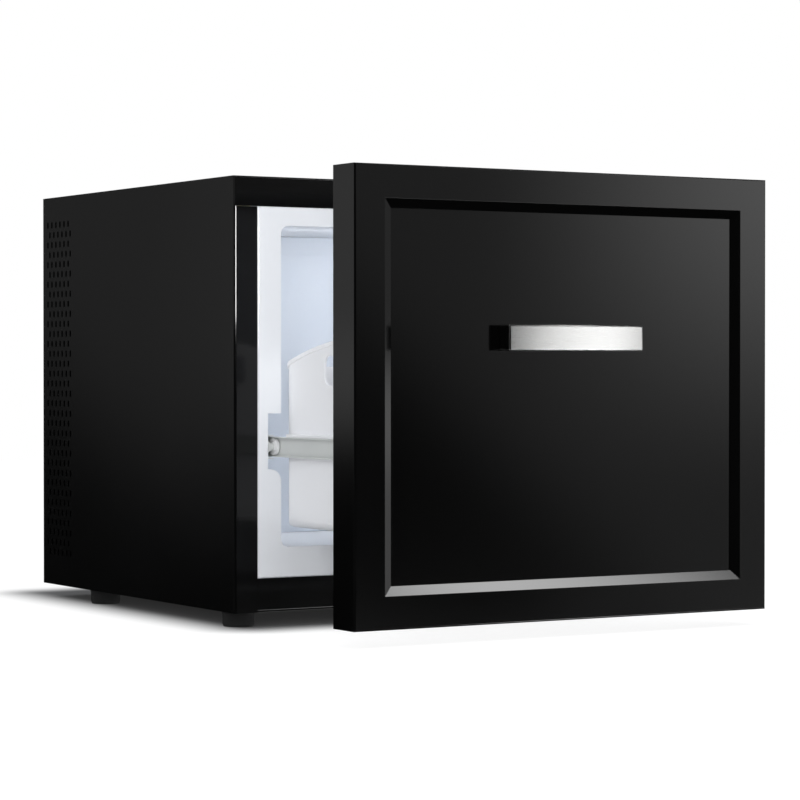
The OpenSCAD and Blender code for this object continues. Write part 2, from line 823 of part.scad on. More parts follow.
// The turning part: a hub with seven flat blades set at an angle
module fan_rotor(w, t) {
    tip = w / 2 - 3;
    hub = w / 6;
    deep = t - 3.5;
    difference() {
        union() {
            rod(0, 1, 0, hub, deep - 1);
            intersection() {
                rod(0, 1.2, 0, tip, deep - 1.6);
                for (i = [0 : 6]) rotate([0, i * 360 / 7, 0]) translate([0, deep / 2, hub - 2])
                    rotate([0, 0, 38]) translate([-0.6, -t, 0]) cube([1.2, 2 * t, tip]);
            }
        }
        rod(0, 2.5, 0, shaft_r + touch, deep);
    }
}

module cold_fan_frame() {
    color(dark) at_cabinet() translate([0, cold_fan_y, te_z])
        fan_frame(cold_fan_w, cold_fan_t, cold_fan_pitch, small_r + touch);
}

module cold_fan_rotor() {
    color(dark) at_cabinet() translate([0, cold_fan_y, te_z])
        fan_rotor(cold_fan_w, cold_fan_t);
}

module cold_sink() {
    fins_from = cold_fan_y + cold_fan_t + clear;
    pitch = 8.4;
    color(steel) at_cabinet() difference() {
        union() {
            block([-sink_w / 2, cold_y - cold_base, te_z - cold_h / 2],
                [sink_w / 2, cold_y, te_z + cold_h / 2]);
            for (i = [-5.5 : 5.5]) block([i * pitch - 0.7, fins_from, te_z - cold_h / 2],
                [i * pitch + 0.7, cold_y - cold_base + 0.01, te_z + cold_h / 2]);
        }
        sink_bolt_holes(cold_y - cold_base - over, cold_base + 2 * over);
    }
}

module spacer_block() {
    color(steel) at_cabinet() block([-block_w / 2, cold_y, te_z - block_w / 2],
        [block_w / 2, bulk_y, te_z + block_w / 2]);
}

module peltier_module() {
    half = te_size / 2;
    plate = te_t / 4;
    color(white) at_cabinet() {
        for (y = [bulk_y, hot_y - plate])
            block([-half, y, te_z - half], [half, y + plate, te_z + half]);
        block([-half + 1, bulk_y, te_z - half + 1], [half - 1, hot_y, te_z + half - 1]);
    }
}

module hot_sink() {
    color(steel) at_cabinet() difference() {
        union() {
            block([-sink_w / 2, hot_y, te_z - sink_h / 2],
                [sink_w / 2, hot_y + sink_base, te_z + sink_h / 2]);
            for (i = [-9 : 9]) block([i * fin_pitch - 0.7, hot_y, te_z - sink_h / 2],
                [i * fin_pitch + 0.7, hot_fan_y, te_z + sink_h / 2]);
        }
        sink_bolt_holes(hot_y - over, sink_base + 2 * over);
    }
}

// The bolts clamp the hot sink, the module, the spacer and the cold sink together
module sink_bolts() {
    reach = hot_y + sink_base - cold_y + cold_base;
    color(steel) at_cabinet() for (x = [-1, 1], z = [-1, 1])
        translate([x * bolt_x, hot_y + sink_base, te_z + z * bolt_z]) mirror([0, 1, 0])
            screw(0, 0, 0, bolt_r, reach, 3.6, 4);
}

module hot_fan_frame() {
    color(dark) at_cabinet() translate([0, hot_fan_y, te_z])
        fan_frame(hot_fan_w, hot_fan_t, hot_fan_pitch, 1.8 + touch);
}

module hot_fan_rotor() {
    color(dark) at_cabinet() translate([0, hot_fan_y, te_z]) fan_rotor(hot_fan_w, hot_fan_t);
}

module fan_screws() {
    color(steel) at_cabinet() for (x = [-1, 1], z = [-1, 1]) {
        translate([x * hot_fan_pitch / 2, hot_fan_y + hot_fan_t, te_z + z * hot_fan_pitch / 2])
            mirror([0, 1, 0]) screw(0, 0, 0, 1.8, hot_fan_t + 8, 3.4, 1.8);
        screw(x * cold_fan_pitch / 2, duct_y, te_z + z * cold_fan_pitch / 2, small_r,
            cover_t + cold_fan_t, 2.8, 1.6);
    }
}

module thermostat() {
    color(white) at_cabinet() {
        rod(dial_x, duct_y + cover_t, dial_z, 11, 16);
        rod(dial_x, duct_y - 4, dial_z, dial_shaft_r, cover_t + 5);
    }
}

module temperature_dial() {
    color(white) at_cabinet() difference() {
        union() {
            rod(dial_x, duct_y - 7, dial_z, 14, 6.7);
            block([dial_x - 1, duct_y - 7.8, dial_z + 3], [dial_x + 1, duct_y - 6.9, dial_z + 13]);
        }
        rod(dial_x, duct_y - 4.3, dial_z, dial_shaft_r + touch, 6);
    }
}

// ---- Lamp and switch ----

module lamp_pocket(grow) {
    block([-lamp_w / 2 - grow, lamp_y - lamp_d / 2 - grow, ceiling_z - over],
        [lamp_w / 2 + grow, lamp_y + lamp_d / 2 + grow, ceiling_z + 9 + grow]);
}

module lamp_lens() {
    color(white) at_cabinet() difference() {
        block([-lamp_w / 2, lamp_y - lamp_d / 2, ceiling_z],
            [lamp_w / 2, lamp_y + lamp_d / 2, ceiling_z + 5]);
        block([-lamp_w / 2 + 2, lamp_y - lamp_d / 2 + 2, ceiling_z + 1.5],
            [lamp_w / 2 - 2, lamp_y + lamp_d / 2 - 2, ceiling_z + 6]);
    }
}

module lamp_board() {
    color("darkgreen") at_cabinet() {
        block([-lamp_w / 2, lamp_y - lamp_d / 2, ceiling_z + 5],
            [lamp_w / 2, lamp_y + lamp_d / 2, ceiling_z + 6.6]);
        for (i = [-2.5 : 2.5]) block([i * 14 - 2, lamp_y - 2, ceiling_z + 4],
            [i * 14 + 2, lamp_y + 2, ceiling_z + 5.01]);
    }
}

module reed_shape(grow) {
    block([reed_x - grow, sheet + 2, reed_z - grow], [reed_x + 24 + grow, sheet + 9 + grow,
        reed_z + 8 + grow]);
}

module reed_switch() {
    color(dark) at_cabinet() reed_shape(0);
}

module magnet_shape(grow) {
    block([reed_x + 2 - grow, -skin - 5 - grow, reed_z - grow],
        [reed_x + 22 + grow, -skin, reed_z + 8 + grow]);
}

module switch_magnet() {
    color(dark) at_drawer() magnet_shape(0);
}

// ---- Electrics ----

module power_board() {
    color("darkgreen") at_cabinet() difference() {
        block([board_x - board_w / 2, board_y - board_d / 2, board_z],
            [board_x + board_w / 2, board_y + board_d / 2, board_z + board_t]);
        board_corners() cylinder(h = 4 * board_t, r = small_r + touch, center = true);
    }
}

module board_corners() {
    for (x = [-1, 1], y = [-1, 1])
        translate([board_x + x * (board_w / 2 - board_edge),
            board_y + y * (board_d / 2 - board_edge), board_z])
            children();
}

// Each spacer stands on the base pan, and its pin holds the board
module board_spacers() {
    stand = board_z - low - sheet;
    color(white) at_cabinet() board_corners() {
        translate([0, 0, -stand]) cylinder(h = stand, r = spacer_r);
        cylinder(h = pin_h, r = small_r);
    }
}

// Choke, capacitors, cooler with its fins and two terminal blocks
module board_components() {
    color(dark) at_cabinet() translate([board_x, board_y, board_z + board_t]) {
        translate(choke_at) cube(choke);
        for (i = [0 : 2]) translate(cap_at + [cap_pitch * i, 0, 0]) cylinder(h = cap_h, r = cap_r);
        translate(cooler_at) cube(cooler);
        for (i = [0 : 3]) translate(cooler_at + [over + cooler_pitch * i, cooler[1] - merge,
            cooler[2] - cooler_fin[2]]) cube(cooler_fin);
        translate(mains_block_at) cube(mains_block);
        translate(output_block_at) cube(output_block);
    }
}

module mains_inlet() {
    deep = 24;
    wall = 2;
    color(dark) at_cabinet() translate([inlet_x, back_y, inlet_z]) difference() {
        union() {
            block([-inlet_w / 2, -deep, -inlet_h / 2], [inlet_w / 2, 0, inlet_h / 2]);
            block([-inlet_w / 2 - 3, 0, -inlet_h / 2 - 3], [inlet_w / 2 + 3, rear_proud - 0.2,
                inlet_h / 2 + 3]);
        }
        block([-inlet_w / 2 + wall, -deep + 7, -inlet_h / 2 + wall],
            [inlet_w / 2 - wall, over + rear_proud, inlet_h / 2 - wall]);
        inlet_pin_places() block([-2 - touch, 0, -1 - touch], [2 + touch, 20, 1 + touch]);
    }
}

module inlet_pin_places() {
    for (p = [[-7, -2], [7, -2], [0, 2]]) translate([p[0], -29, p[1]]) children();
}

module inlet_pins() {
    color("goldenrod") at_cabinet() translate([inlet_x, back_y, inlet_z])
        inlet_pin_places() block([-2, 0, -1], [2, 25, 1]);
}

// A wire along a list of points, with a small bead at each bend
module wire(points, r) {
    for (i = [0 : len(points) - 2]) {
        run = points[i + 1] - points[i];
        translate(points[i]) rotate([0, acos(run[2] / norm(run)), atan2(run[1], run[0])])
            cylinder(h = norm(run), r = r, $fn = 16);
    }
    for (i = [1 : len(points) - 2]) translate(points[i]) sphere(r + 0.15, $fn = 16);
}

module wiring_harness() {
    r = 1.6;
    thin = 0.7;
    terminal_z = board_z + 8;
    terminal_x = board_x + mains_block_at[0];
    terminal_y = board_y + mains_block_at[1];
    output_y = board_y + output_block_at[1] + output_block[1] / 2;
    output_x = board_x + output_block_at[0] + output_block[0];
    module_y = bulk_y + sheet + 0.2 + thin;
    fan_y = hot_fan_y + hot_fan_t - 4;
    down_x = board_x + 46;
    color("firebrick") at_cabinet() {
        wire([[terminal_x, terminal_y + 9, terminal_z], [terminal_x - 10, terminal_y + 9, terminal_z],
            [terminal_x - 10, module_y, terminal_z], [terminal_x - 10, module_y, te_z],
            [te_size / 2 - 1, module_y, te_z]], thin);
        wire([[terminal_x, terminal_y + 3, terminal_z], [terminal_x - 6, terminal_y + 3, terminal_z],
            [terminal_x - 6, fan_y, terminal_z], [terminal_x - 6, fan_y, te_z - 40],
            [hot_fan_w / 2, fan_y, te_z - 40]], r);
        wire([[inlet_x, back_y - 29, inlet_z - 2], [inlet_x, back_y - 36, inlet_z - 2],
            [inlet_x, back_y - 36, terminal_z],
            [inlet_x, board_y + output_block_at[1] + output_block[1], terminal_z]], r);
        wire([[dial_x, duct_y + cover_t + 16, dial_z], [dial_x, bulk_y + 8, dial_z],
            [down_x, bulk_y + 8, dial_z], [down_x, bulk_y + 8, terminal_z],
            [down_x, output_y, terminal_z], [output_x, output_y, terminal_z]], r);
    }
}

module drain_path(r) {
    start = liner_d + touch;
    rod(0, start, drain_z, r, drain_y - start);
    translate([0, drain_y, drain_z - drain_bend]) rotate([0, -90, 0])
        rotate_extrude(angle = 90) translate([drain_bend, 0]) circle(r);
    translate([0, drain_y + drain_bend, low + sheet + 6])
        cylinder(h = drain_z - drain_bend - low - sheet - 6, r = r);
}

module drain_tube() {
    color(white) at_cabinet() drain_path(drain_r);
}

module drip_tray() {
    wall = 1.5;
    from_y = bulk_y + sheet + 12;
    color(dark) at_cabinet() difference() {
        block([-tray_w / 2, from_y, low + sheet], [tray_w / 2, from_y + tray_d,
            low + sheet + tray_h]);
        block([-tray_w / 2 + wall, from_y + wall, low + sheet + wall],
            [tray_w / 2 - wall, from_y + tray_d - wall, low + sheet + tray_h + over]);
    }
}

// ---- Drawer front ----

// The front's outside with its four front edges rounded: two rounded bars crossed
module front_body() {
    intersection() {
        translate([0, 0, front_low]) linear_extrude(front_h) {
            translate([-half_w, -front_t + edge_r]) square([cabinet_w, front_t - edge_r]);
            translate([-half_w + edge_r, -front_t]) square([cabinet_w - 2 * edge_r, front_t]);
            for (x = [-1, 1]) translate([x * (half_w - edge_r), -front_t + edge_r])
                circle(edge_r);
        }
        rotate([90, 0, 90]) translate([0, 0, -half_w]) linear_extrude(cabinet_w) {
            translate([-front_t + edge_r, front_low]) square([front_t - edge_r, front_h]);
            translate([-front_t, front_low + edge_r]) square([front_t, front_h - 2 * edge_r]);
            for (z = [front_low + edge_r, front_high - edge_r])
                translate([-front_t + edge_r, z]) circle(edge_r);
        }
    }
}

// The sloped opening in the border: two tapered bars crossed, so that its corners are mitred
module front_window() {
    out = bevel_w * (1 + over / bevel_d);
    intersection() {
        translate([0, 0, front_low]) linear_extrude(front_h)
            window_taper(window_w, out);
        rotate([90, 0, 90]) translate([0, 0, -half_w]) linear_extrude(cabinet_w)
            translate([0, front_mid]) mirror([1, -1]) window_taper(window_h, out);
    }
    block([-window_w, -front_t, front_mid - window_h], [window_w, 0, front_mid + window_h]);
}

module window_taper(half, out) {
    polygon([[-half, -front_t + bevel_d], [half, -front_t + bevel_d],
        [half + out, -front_t - over], [-half - out, -front_t - over]]);
}

module front_frame() {
    color(black) at_drawer() difference() {
        front_body();
        front_window();
        block([-window_w - panel_lap - touch, panel_y, front_mid - window_h - panel_lap - touch],
            [window_w + panel_lap + touch, over, front_mid + window_h + panel_lap + touch]);
        block([-half_w + frame_t, core_y, front_low + frame_t],
            [half_w - frame_t, over, front_high - frame_t]);
    }
}

module front_panel() {
    color(black) at_drawer() difference() {
        block([-window_w - panel_lap, panel_y, front_mid - window_h - panel_lap],
            [window_w + panel_lap, core_y, front_mid + window_h + panel_lap]);
        for (x = [-1, 1]) rod(x * post_x, panel_y - over, handle_z, screw_r + touch,
            panel_t + 2 * over);
    }
}

module drawer_insulation() {
    edge = frame_t + clear;
    color([0.93, 0.88, 0.7]) at_drawer() difference() {
        union() {
            block([-half_w + edge, core_y, front_low + edge], [half_w - edge, -skin,
                front_high - edge]);
            block([-plug_w + skin, -skin - 0.01, plug_low + skin],
                [plug_w - skin, plug_d - skin, plug_high - skin]);
        }
        for (x = [-1, 1]) rod(x * post_x, core_y - over, handle_z, 4.4, 4);
        magnet_shape(touch);
        bracket_front_screws(screw_r + touch);
    }
}

module gasket_ring(grow, y, t) {
    wide = gasket_w / 2 + grow;
    difference() {
        upright(gasket_x + wide, gasket_low - wide, gasket_high + wide, 8, y, t);
        upright(gasket_x - wide, gasket_low + wide, gasket_high - wide, 4, y - over,
            t + 2 * over);
    }
}

module drawer_liner() {
    edge = frame_t + touch;
    color(white) at_drawer() difference() {
        union() {
            block([-half_w + edge, -skin, front_low + edge], [half_w - edge, 0,
                front_high - edge]);
            upright(plug_w, plug_low, plug_high, 12, -skin, skin + plug_d);
        }
        block([-plug_w + skin, -skin - over, plug_low + skin],
            [plug_w - skin, plug_d - skin, plug_high - skin]);
        gasket_ring(touch, -gasket_seat, gasket_seat + over);
        bracket_front_screws(screw_r + touch);
    }
}

module drawer_gasket() {
    color(dark) at_drawer() {
        gasket_ring(0, -gasket_seat, gasket_seat);
        gasket_ring(-2, -0.01, closed_gap - clear);
    }
}

// The bar is a slice of a wide ring, so that its face bows outwards
module handle_bar() {
    corner = 1.5;
    color(steel) at_drawer() intersection() {
        upright(handle_w / 2, handle_z - handle_h / 2, handle_z + handle_h / 2, corner,
            handle_y - over, handle_bow + handle_t + 2 * over);
        difference() {
            handle_drum(bow_r);
            handle_drum(bow_r - handle_t);
        }
    }
}

module handle_drum(r) {
    translate([0, handle_y + bow_r, handle_z - handle_h]) cylinder(h = 2 * handle_h, r = r,
        $fn = 256);
}

module handle_posts() {
    color(black) at_drawer() difference() {
        intersection() {
            both_sides() block([post_x - post_w / 2, handle_y, handle_z - post_h / 2],
                [post_x + post_w / 2, panel_y, handle_z + post_h / 2]);
            handle_drum(bow_r - handle_t);
        }
        for (x = [-1, 1]) rod(x * post_x, panel_y - handle_screw_len - 1 + touch,
            handle_z, screw_r + touch, handle_screw_len + 3);
    }
}

module handle_screws() {
    color(steel) at_drawer() for (x = [-1, 1]) translate([x * post_x, core_y, handle_z])
        mirror([0, 1, 0]) screw(0, 0, 0, screw_r, panel_t + handle_screw_len, 3.8, 2.2);
}

// ---- Drawer member brackets ----

// The shanks that join a bracket to its drawer member end flush with the member's web
module bracket_side_screws(r, beyond) {
    for (y = bracket_screw_y) translate([-inner_x - slide_t - beyond, y, slide_z])
        rotate([0, 90, 0]) cylinder(h = slide_t + bracket_t + 2 * beyond, r = r);
}

module bracket_front_places() {
    both_sides() for (z = [-1, 1])
        translate([-inner_x + bracket_foot - bracket_screw_in, 0, slide_z + z * bracket_screw_z])
            children();
}

module bracket_front_screws(r) {
    bracket_front_places() rod(0, -bracket_screw_len, 0, r, bracket_screw_len + bracket_t);
}

module slide_brackets() {
    color(steel) at_drawer() both_sides() difference() {
        union() {
            block([-inner_x, 0, slide_z - bracket_h / 2],
                [-inner_x + bracket_t, bracket_len, slide_z + bracket_h / 2]);
            block([-inner_x, 0, slide_z - bracket_h / 2],
                [-inner_x + bracket_foot, bracket_t, slide_z + bracket_h / 2]);
        }
        bracket_side_screws(screw_r + touch, over);
        bracket_front_screws(screw_r + touch);
    }
}

module bracket_screws() {
    color(steel) at_drawer() {
        bracket_front_screws(screw_r);
        bracket_front_places() rod(0, bracket_t, 0, bracket_head[0], bracket_head[1]);
        both_sides() {
            bracket_side_screws(screw_r, 0);
            for (y = bracket_screw_y) translate([-inner_x + bracket_t, y, slide_z])
                rotate([0, 90, 0])
                    cylinder(h = bracket_side_head[1], r = bracket_side_head[0]);
        }
    }
}

// ---- Bin ----

// A box rounded along its upright and lower edges, shrunk by a wall on every side
module bin_body(shrink, top) {
    w = bin_w - shrink;
    from_y = bin_front + shrink;
    to_y = bin_back - shrink;
    from_z = bin_low + shrink;
    corner = bin_r - shrink;
    edge = max(bin_foot_r - shrink, 1);
    intersection() {
        translate([0, (from_y + to_y) / 2, from_z]) linear_extrude(top - from_z)
            rounded(2 * w, to_y - from_y, corner);
        translate([0, to_y, 0]) rotate([90, 0, 0]) linear_extrude(to_y - from_y)
            bin_end(2 * w, from_z, top, edge);
        rotate([90, 0, 90]) translate([0, 0, -w]) linear_extrude(2 * w)
            translate([(from_y + to_y) / 2, 0]) bin_end(to_y - from_y, from_z, top, edge);
    }
}

// A rectangle whose two lower corners are round
module bin_end(w, from_z, top, r) {
    translate([-w / 2, from_z + r]) square([w, top - from_z - r]);
    translate([-w / 2 + r, from_z]) square([w - 2 * r, top - from_z]);
    for (x = [-1, 1]) translate([x * (w / 2 - r), from_z + r]) circle(r);
}

// Everything under the rim's long curve
module under_rim(drop) {
    translate([-half_w, bin_front, bin_top_z - rim_r]) rotate([0, 90, 0])
        cylinder(h = cabinet_w, r = rim_r - drop, $fn = 256);
}

module bin() {
    reach = mouth_w + 3.4;
    color(white) at_drawer() {
        difference() {
            union() {
                intersection() {
                    bin_body(0, bin_top_z + over);
                    under_rim(0);
                }
                intersection() {
                    difference() {
                        translate([0, (bin_front + bin_back) / 2, bin_low])
                            linear_extrude(bin_top_z - bin_low + over)
                                rounded(2 * (bin_w + bin_lip), bin_len + 2 * bin_lip,
                                    bin_r + bin_lip);
                        under_rim(rim_h);
                    }
                    under_rim(0);
                }
            }
            bin_body(bin_t, bin_top_z + 2 * over);
            hand_holes();
        }
        both_sides() block([-reach, bin_front + bin_r, hanger_z],
            [-bin_w + 0.5, bin_back - bin_r, hanger_z + 3]);
    }
}

module hand_holes() {
    translate([-half_w, hand_y, hand_z]) rotate([90, 90, 90])
        linear_extrude(cabinet_w) rounded(hand_h, hand_w, hand_r);
}

side_panel(-1);  // side_panel_left
side_panel(1);  // side_panel_right
top_panel();
base_pan();
back_panel();
bulkhead();
insulation_foam();
inner_liner();
foot(-1, foot_front_y);  // foot_front_left
foot(1, foot_front_y);  // foot_front_right
foot(-1, foot_rear_y);  // foot_rear_left
foot(1, foot_rear_y);  // foot_rear_right
case_screws();
slide_outer(-1);  // slide_outer_left
slide_outer(1);  // slide_outer_right
slide_screws();
evaporator_cover();
cover_screws();
cold_fan_frame();
cold_fan_rotor();
cold_sink();
spacer_block();
peltier_module();
hot_sink();
sink_bolts();
hot_fan_frame();
hot_fan_rotor();
fan_screws();
thermostat();
temperature_dial();
lamp_board();
lamp_lens();
reed_switch();
power_board();
board_components();
board_spacers();
mains_inlet();
inlet_pins();
wiring_harness();
drain_tube();
drip_tray();
front_roller(-1);  // front_roller_left
front_roller(1);  // front_roller_right
rear_roller(-1);  // rear_roller_left
rear_roller(1);  // rear_roller_right
front_frame();
front_panel();
drawer_insulation();
drawer_liner();
drawer_gasket();
switch_magnet();
handle_bar();
handle_posts();
handle_screws();
slide_inner(-1);  // slide_inner_left
slide_inner(1);  // slide_inner_right
slide_brackets();
bracket_screws();
bin();
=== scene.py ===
"""Looks of a drawer-type hotel minibar: black steel case, white liner, translucent bin, brushed handle.

Metres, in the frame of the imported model: +X is to the right, the drawer opens towards -Y, +Z is up.
"""

import json
import logging
import math
from collections.abc import Callable, Sequence
from dataclasses import dataclass, field
from enum import Enum
from typing import ClassVar

import bmesh
import bpy
from mathutils import Matrix, Vector

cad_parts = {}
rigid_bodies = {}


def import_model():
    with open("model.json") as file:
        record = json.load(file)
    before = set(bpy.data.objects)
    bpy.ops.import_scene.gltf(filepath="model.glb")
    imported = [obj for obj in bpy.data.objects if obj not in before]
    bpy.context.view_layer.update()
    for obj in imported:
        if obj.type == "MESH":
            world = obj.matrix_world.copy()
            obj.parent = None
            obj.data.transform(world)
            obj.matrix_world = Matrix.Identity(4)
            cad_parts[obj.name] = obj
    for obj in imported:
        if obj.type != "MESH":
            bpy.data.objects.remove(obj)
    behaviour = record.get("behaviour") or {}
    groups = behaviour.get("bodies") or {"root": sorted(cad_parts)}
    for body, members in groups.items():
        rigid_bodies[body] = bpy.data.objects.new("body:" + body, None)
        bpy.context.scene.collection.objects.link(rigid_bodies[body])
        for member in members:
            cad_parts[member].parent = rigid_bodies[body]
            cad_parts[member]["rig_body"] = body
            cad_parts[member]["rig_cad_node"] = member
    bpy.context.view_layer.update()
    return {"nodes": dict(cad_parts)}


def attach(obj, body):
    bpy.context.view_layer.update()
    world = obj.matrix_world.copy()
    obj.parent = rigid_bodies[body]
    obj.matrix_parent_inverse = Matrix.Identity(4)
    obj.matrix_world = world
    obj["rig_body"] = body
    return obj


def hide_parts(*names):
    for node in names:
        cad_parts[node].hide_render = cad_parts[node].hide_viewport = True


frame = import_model()

MM = 0.001
LOG = logging.getLogger("minibar")

Tree = bpy.types.NodeTree
Node = bpy.types.Node
Socket = bpy.types.NodeSocket
Piece = bpy.types.Object
Triple = tuple[float, float, float]
Places = tuple[tuple[Vector, Vector], ...]


# ---- Colours, nodes and finishes ----


def linear(hex_color: str) -> tuple[float, float, float, float]:
    """Turns an sRGB hex colour into the linear colour that a shader reads.

    Args:
        hex_color: Six hex digits.

    Returns:
        Red, green, blue and alpha, from 0 to 1.
    """
    parts = [int(hex_color[i : i + 2], 16) / 255 for i in (0, 2, 4)]
    red, green, blue = (p / 12.92 if p <= 0.04045 else ((p + 0.055) / 1.055) ** 2.4 for p in parts)
    return red, green, blue, 1.0


def bare_tree(owner: bpy.types.Material | bpy.types.World) -> Tree:
    """Gives a material or a world an empty node tree.

    Args:
        owner: The material or the world.

    Returns:
        Its tree.
    """
    owner.use_nodes = True
    owner.node_tree.nodes.clear()
    return owner.node_tree


def add_node(tree: Tree, kind: str, inputs: dict | None = None, **settings: object) -> Node:
    """Adds one node with its settings, its values and its links.

    Args:
        tree: The tree that gets the node.
        kind: The node's type name, without its first part ShaderNode.
        inputs: Input name or number to a value, or to the output socket that feeds it.
        **settings: Properties of the node itself.

    Returns:
        The new node.
    """
    node = tree.nodes.new(f"ShaderNode{kind}")
    for name, value in settings.items():
        setattr(node, name, value)
    for key, value in (inputs or {}).items():
        if isinstance(value, Socket):
            tree.links.new(value, node.inputs[key])
        else:
            node.inputs[key].default_value = value
    return node


@dataclass(frozen=True)
class Layer:
    """One texture of a finish's pattern. A scale of 1 makes its features one grain long."""

    kind: str
    inputs: dict[str, object]
    output: str = "Fac"
    settings: dict[str, str] = field(default_factory=dict)


@dataclass(frozen=True)
class Finish:
    """A surface finish: what the piece is made of and how its surface was made.

    Grain and bump are in millimetres: the size of one feature of the pattern, and its height.
    Stretch is how many grains long a feature is along each axis. The first layer of the pattern
    gives the bump and the last one the colour and the roughness. These are the layers of a
    moulded or painted surface: an even fine grain, and broad faint clouds.
    """

    layers: ClassVar[tuple[Layer, ...]] = (
        Layer("TexNoise", {"Scale": 1.0, "Detail": 3.0, "Roughness": 0.55}),
        Layer("TexNoise", {"Scale": 0.02}),
    )

    name: str
    color: str
    tint: str
    roughness: float
    metallic: float = 0.0
    ior: float = 1.5
    specular: float = 0.5
    anisotropic: float = 0.0
    grain: float = 1.0
    bump: float = 0.01
    rough_spread: float = 0.04
    stretch: Triple = (1, 1, 1)

    def material(self) -> bpy.types.Material:
        """Makes the finish's material at its first use.

        Returns:
            The material.
        """
        found = bpy.data.materials.get(self.name)
        if found:
            return found
        material = bpy.data.materials.new(self.name)
        tree = bare_tree(material)
        shader = add_node(tree, "BsdfPrincipled", self.values())
        add_node(tree, "OutputMaterial", {"Surface": shader.outputs["BSDF"]})
        self.pattern(tree, shader)
        material.diffuse_color = linear(self.color)
        return material

    def values(self) -> dict[str, object]:
        """Lists what the shader has all over the surface.

        Returns:
            The values, by the names of the shader's inputs.
        """
        return {
            "Base Color": linear(self.color),
            "Metallic": self.metallic,
            "Roughness": self.roughness,
            "IOR": self.ior,
            "Specular IOR Level": self.specular,
            "Anisotropic": self.anisotropic,
        }

    def pattern(self, tree: Tree, shader: Node) -> None:
        """Adds the pattern, which drives the bump, the colour and the roughness.

        Args:
            tree: The material's tree.
            shader: The Principled shader.
        """
        coords = add_node(tree, "TexCoord").outputs["Object"]
        per_metre = 1 / (self.grain * MM)
        scale = tuple(per_metre / length for length in self.stretch)
        grains = add_node(tree, "Mapping", {"Vector": coords, "Scale": scale}).outputs["Vector"]
        sockets = []
        for layer in self.layers:
            texture = add_node(tree, layer.kind, {"Vector": grains, **layer.inputs}, **layer.settings)
            sockets.append(texture.outputs[layer.output])
        bump = add_node(tree, "Bump", {"Height": sockets[0], "Distance": self.bump * MM})
        tree.links.new(bump.outputs["Normal"], shader.inputs["Normal"])
        colors = {"Factor": sockets[-1], 6: linear(self.color), 7: linear(self.tint)}
        mix = add_node(tree, "Mix", colors, data_type="RGBA")
        tree.links.new(mix.outputs[2], shader.inputs["Base Color"])
        low = self.roughness - self.rough_spread
        high = self.roughness + self.rough_spread
        spread = add_node(tree, "MapRange", {"Value": sockets[-1], "To Min": low, "To Max": high})
        tree.links.new(spread.outputs["Result"], shader.inputs["Roughness"])


@dataclass(frozen=True)
class Brushed(Finish):
    """Metal brushed in one direction: long fine scratches that stretch its reflections."""

    layers: ClassVar[tuple[Layer, ...]] = (
        Layer("TexNoise", {"Scale": 1.0, "Detail": 5.0, "Roughness": 0.7}),
    )
    quarter_turn: ClassVar[float] = 0.25

    stretch: Triple = (60, 1, 1)

    def pattern(self, tree: Tree, shader: Node) -> None:
        """Adds the scratches, and the direction in which they stretch a reflection.

        Args:
            tree: The material's tree.
            shader: The Principled shader.
        """
        super().pattern(tree, shader)
        around = add_node(tree, "Tangent", direction_type="RADIAL", axis="Z")
        tree.links.new(around.outputs["Tangent"], shader.inputs["Tangent"])

    def values(self) -> dict[str, object]:
        """Returns the usual values and the turn of the brushing."""
        return super().values() | {"Anisotropic Rotation": self.quarter_turn}


@dataclass(frozen=True)
class Plated(Finish):
    """Plated or drawn metal: small crystals under broad bright clouds."""

    layers: ClassVar[tuple[Layer, ...]] = (
        Layer("TexVoronoi", {"Scale": 1.0}, "Distance", {"feature": "SMOOTH_F1"}),
        Layer("TexNoise", {"Scale": 0.12, "Detail": 4.0, "Distortion": 0.6}),
    )


@dataclass(frozen=True)
class Cellular(Finish):
    """Cut rigid foam: small open cells."""

    layers: ClassVar[tuple[Layer, ...]] = (Layer("TexVoronoi", {"Scale": 1.0}, "Distance"),)


@dataclass(frozen=True)
class Laminate(Finish):
    """Fibreglass circuit board: stepped copper tracks under green lacquer."""

    layers: ClassVar[tuple[Layer, ...]] = (
        Layer(
            "TexBrick",
            {
                "Color1": (0, 0, 0, 1),
                "Color2": (0.25, 0.25, 0.25, 1),
                "Mortar": (1, 1, 1, 1),
                "Scale": 0.25,
                "Mortar Size": 0.06,
                "Mortar Smooth": 0.1,
            },
            "Color",
        ),
    )


@dataclass(frozen=True)
class Translucent(Finish):
    """A thin moulded plastic that lets light through its depth, which is in millimetres."""

    depth: float = 4.0
    share: float = 0.35
    glow: float = 0.0

    def values(self) -> dict[str, object]:
        """Adds the light inside the wall.

        Returns:
            The values, by the names of the shader's inputs.
        """
        return super().values() | {
            "Subsurface Weight": self.share,
            "Subsurface Scale": self.depth * MM,
            "Subsurface Radius": (1.0, 1.0, 1.0),
            "Emission Color": linear(self.color),
            "Emission Strength": self.glow,
        }


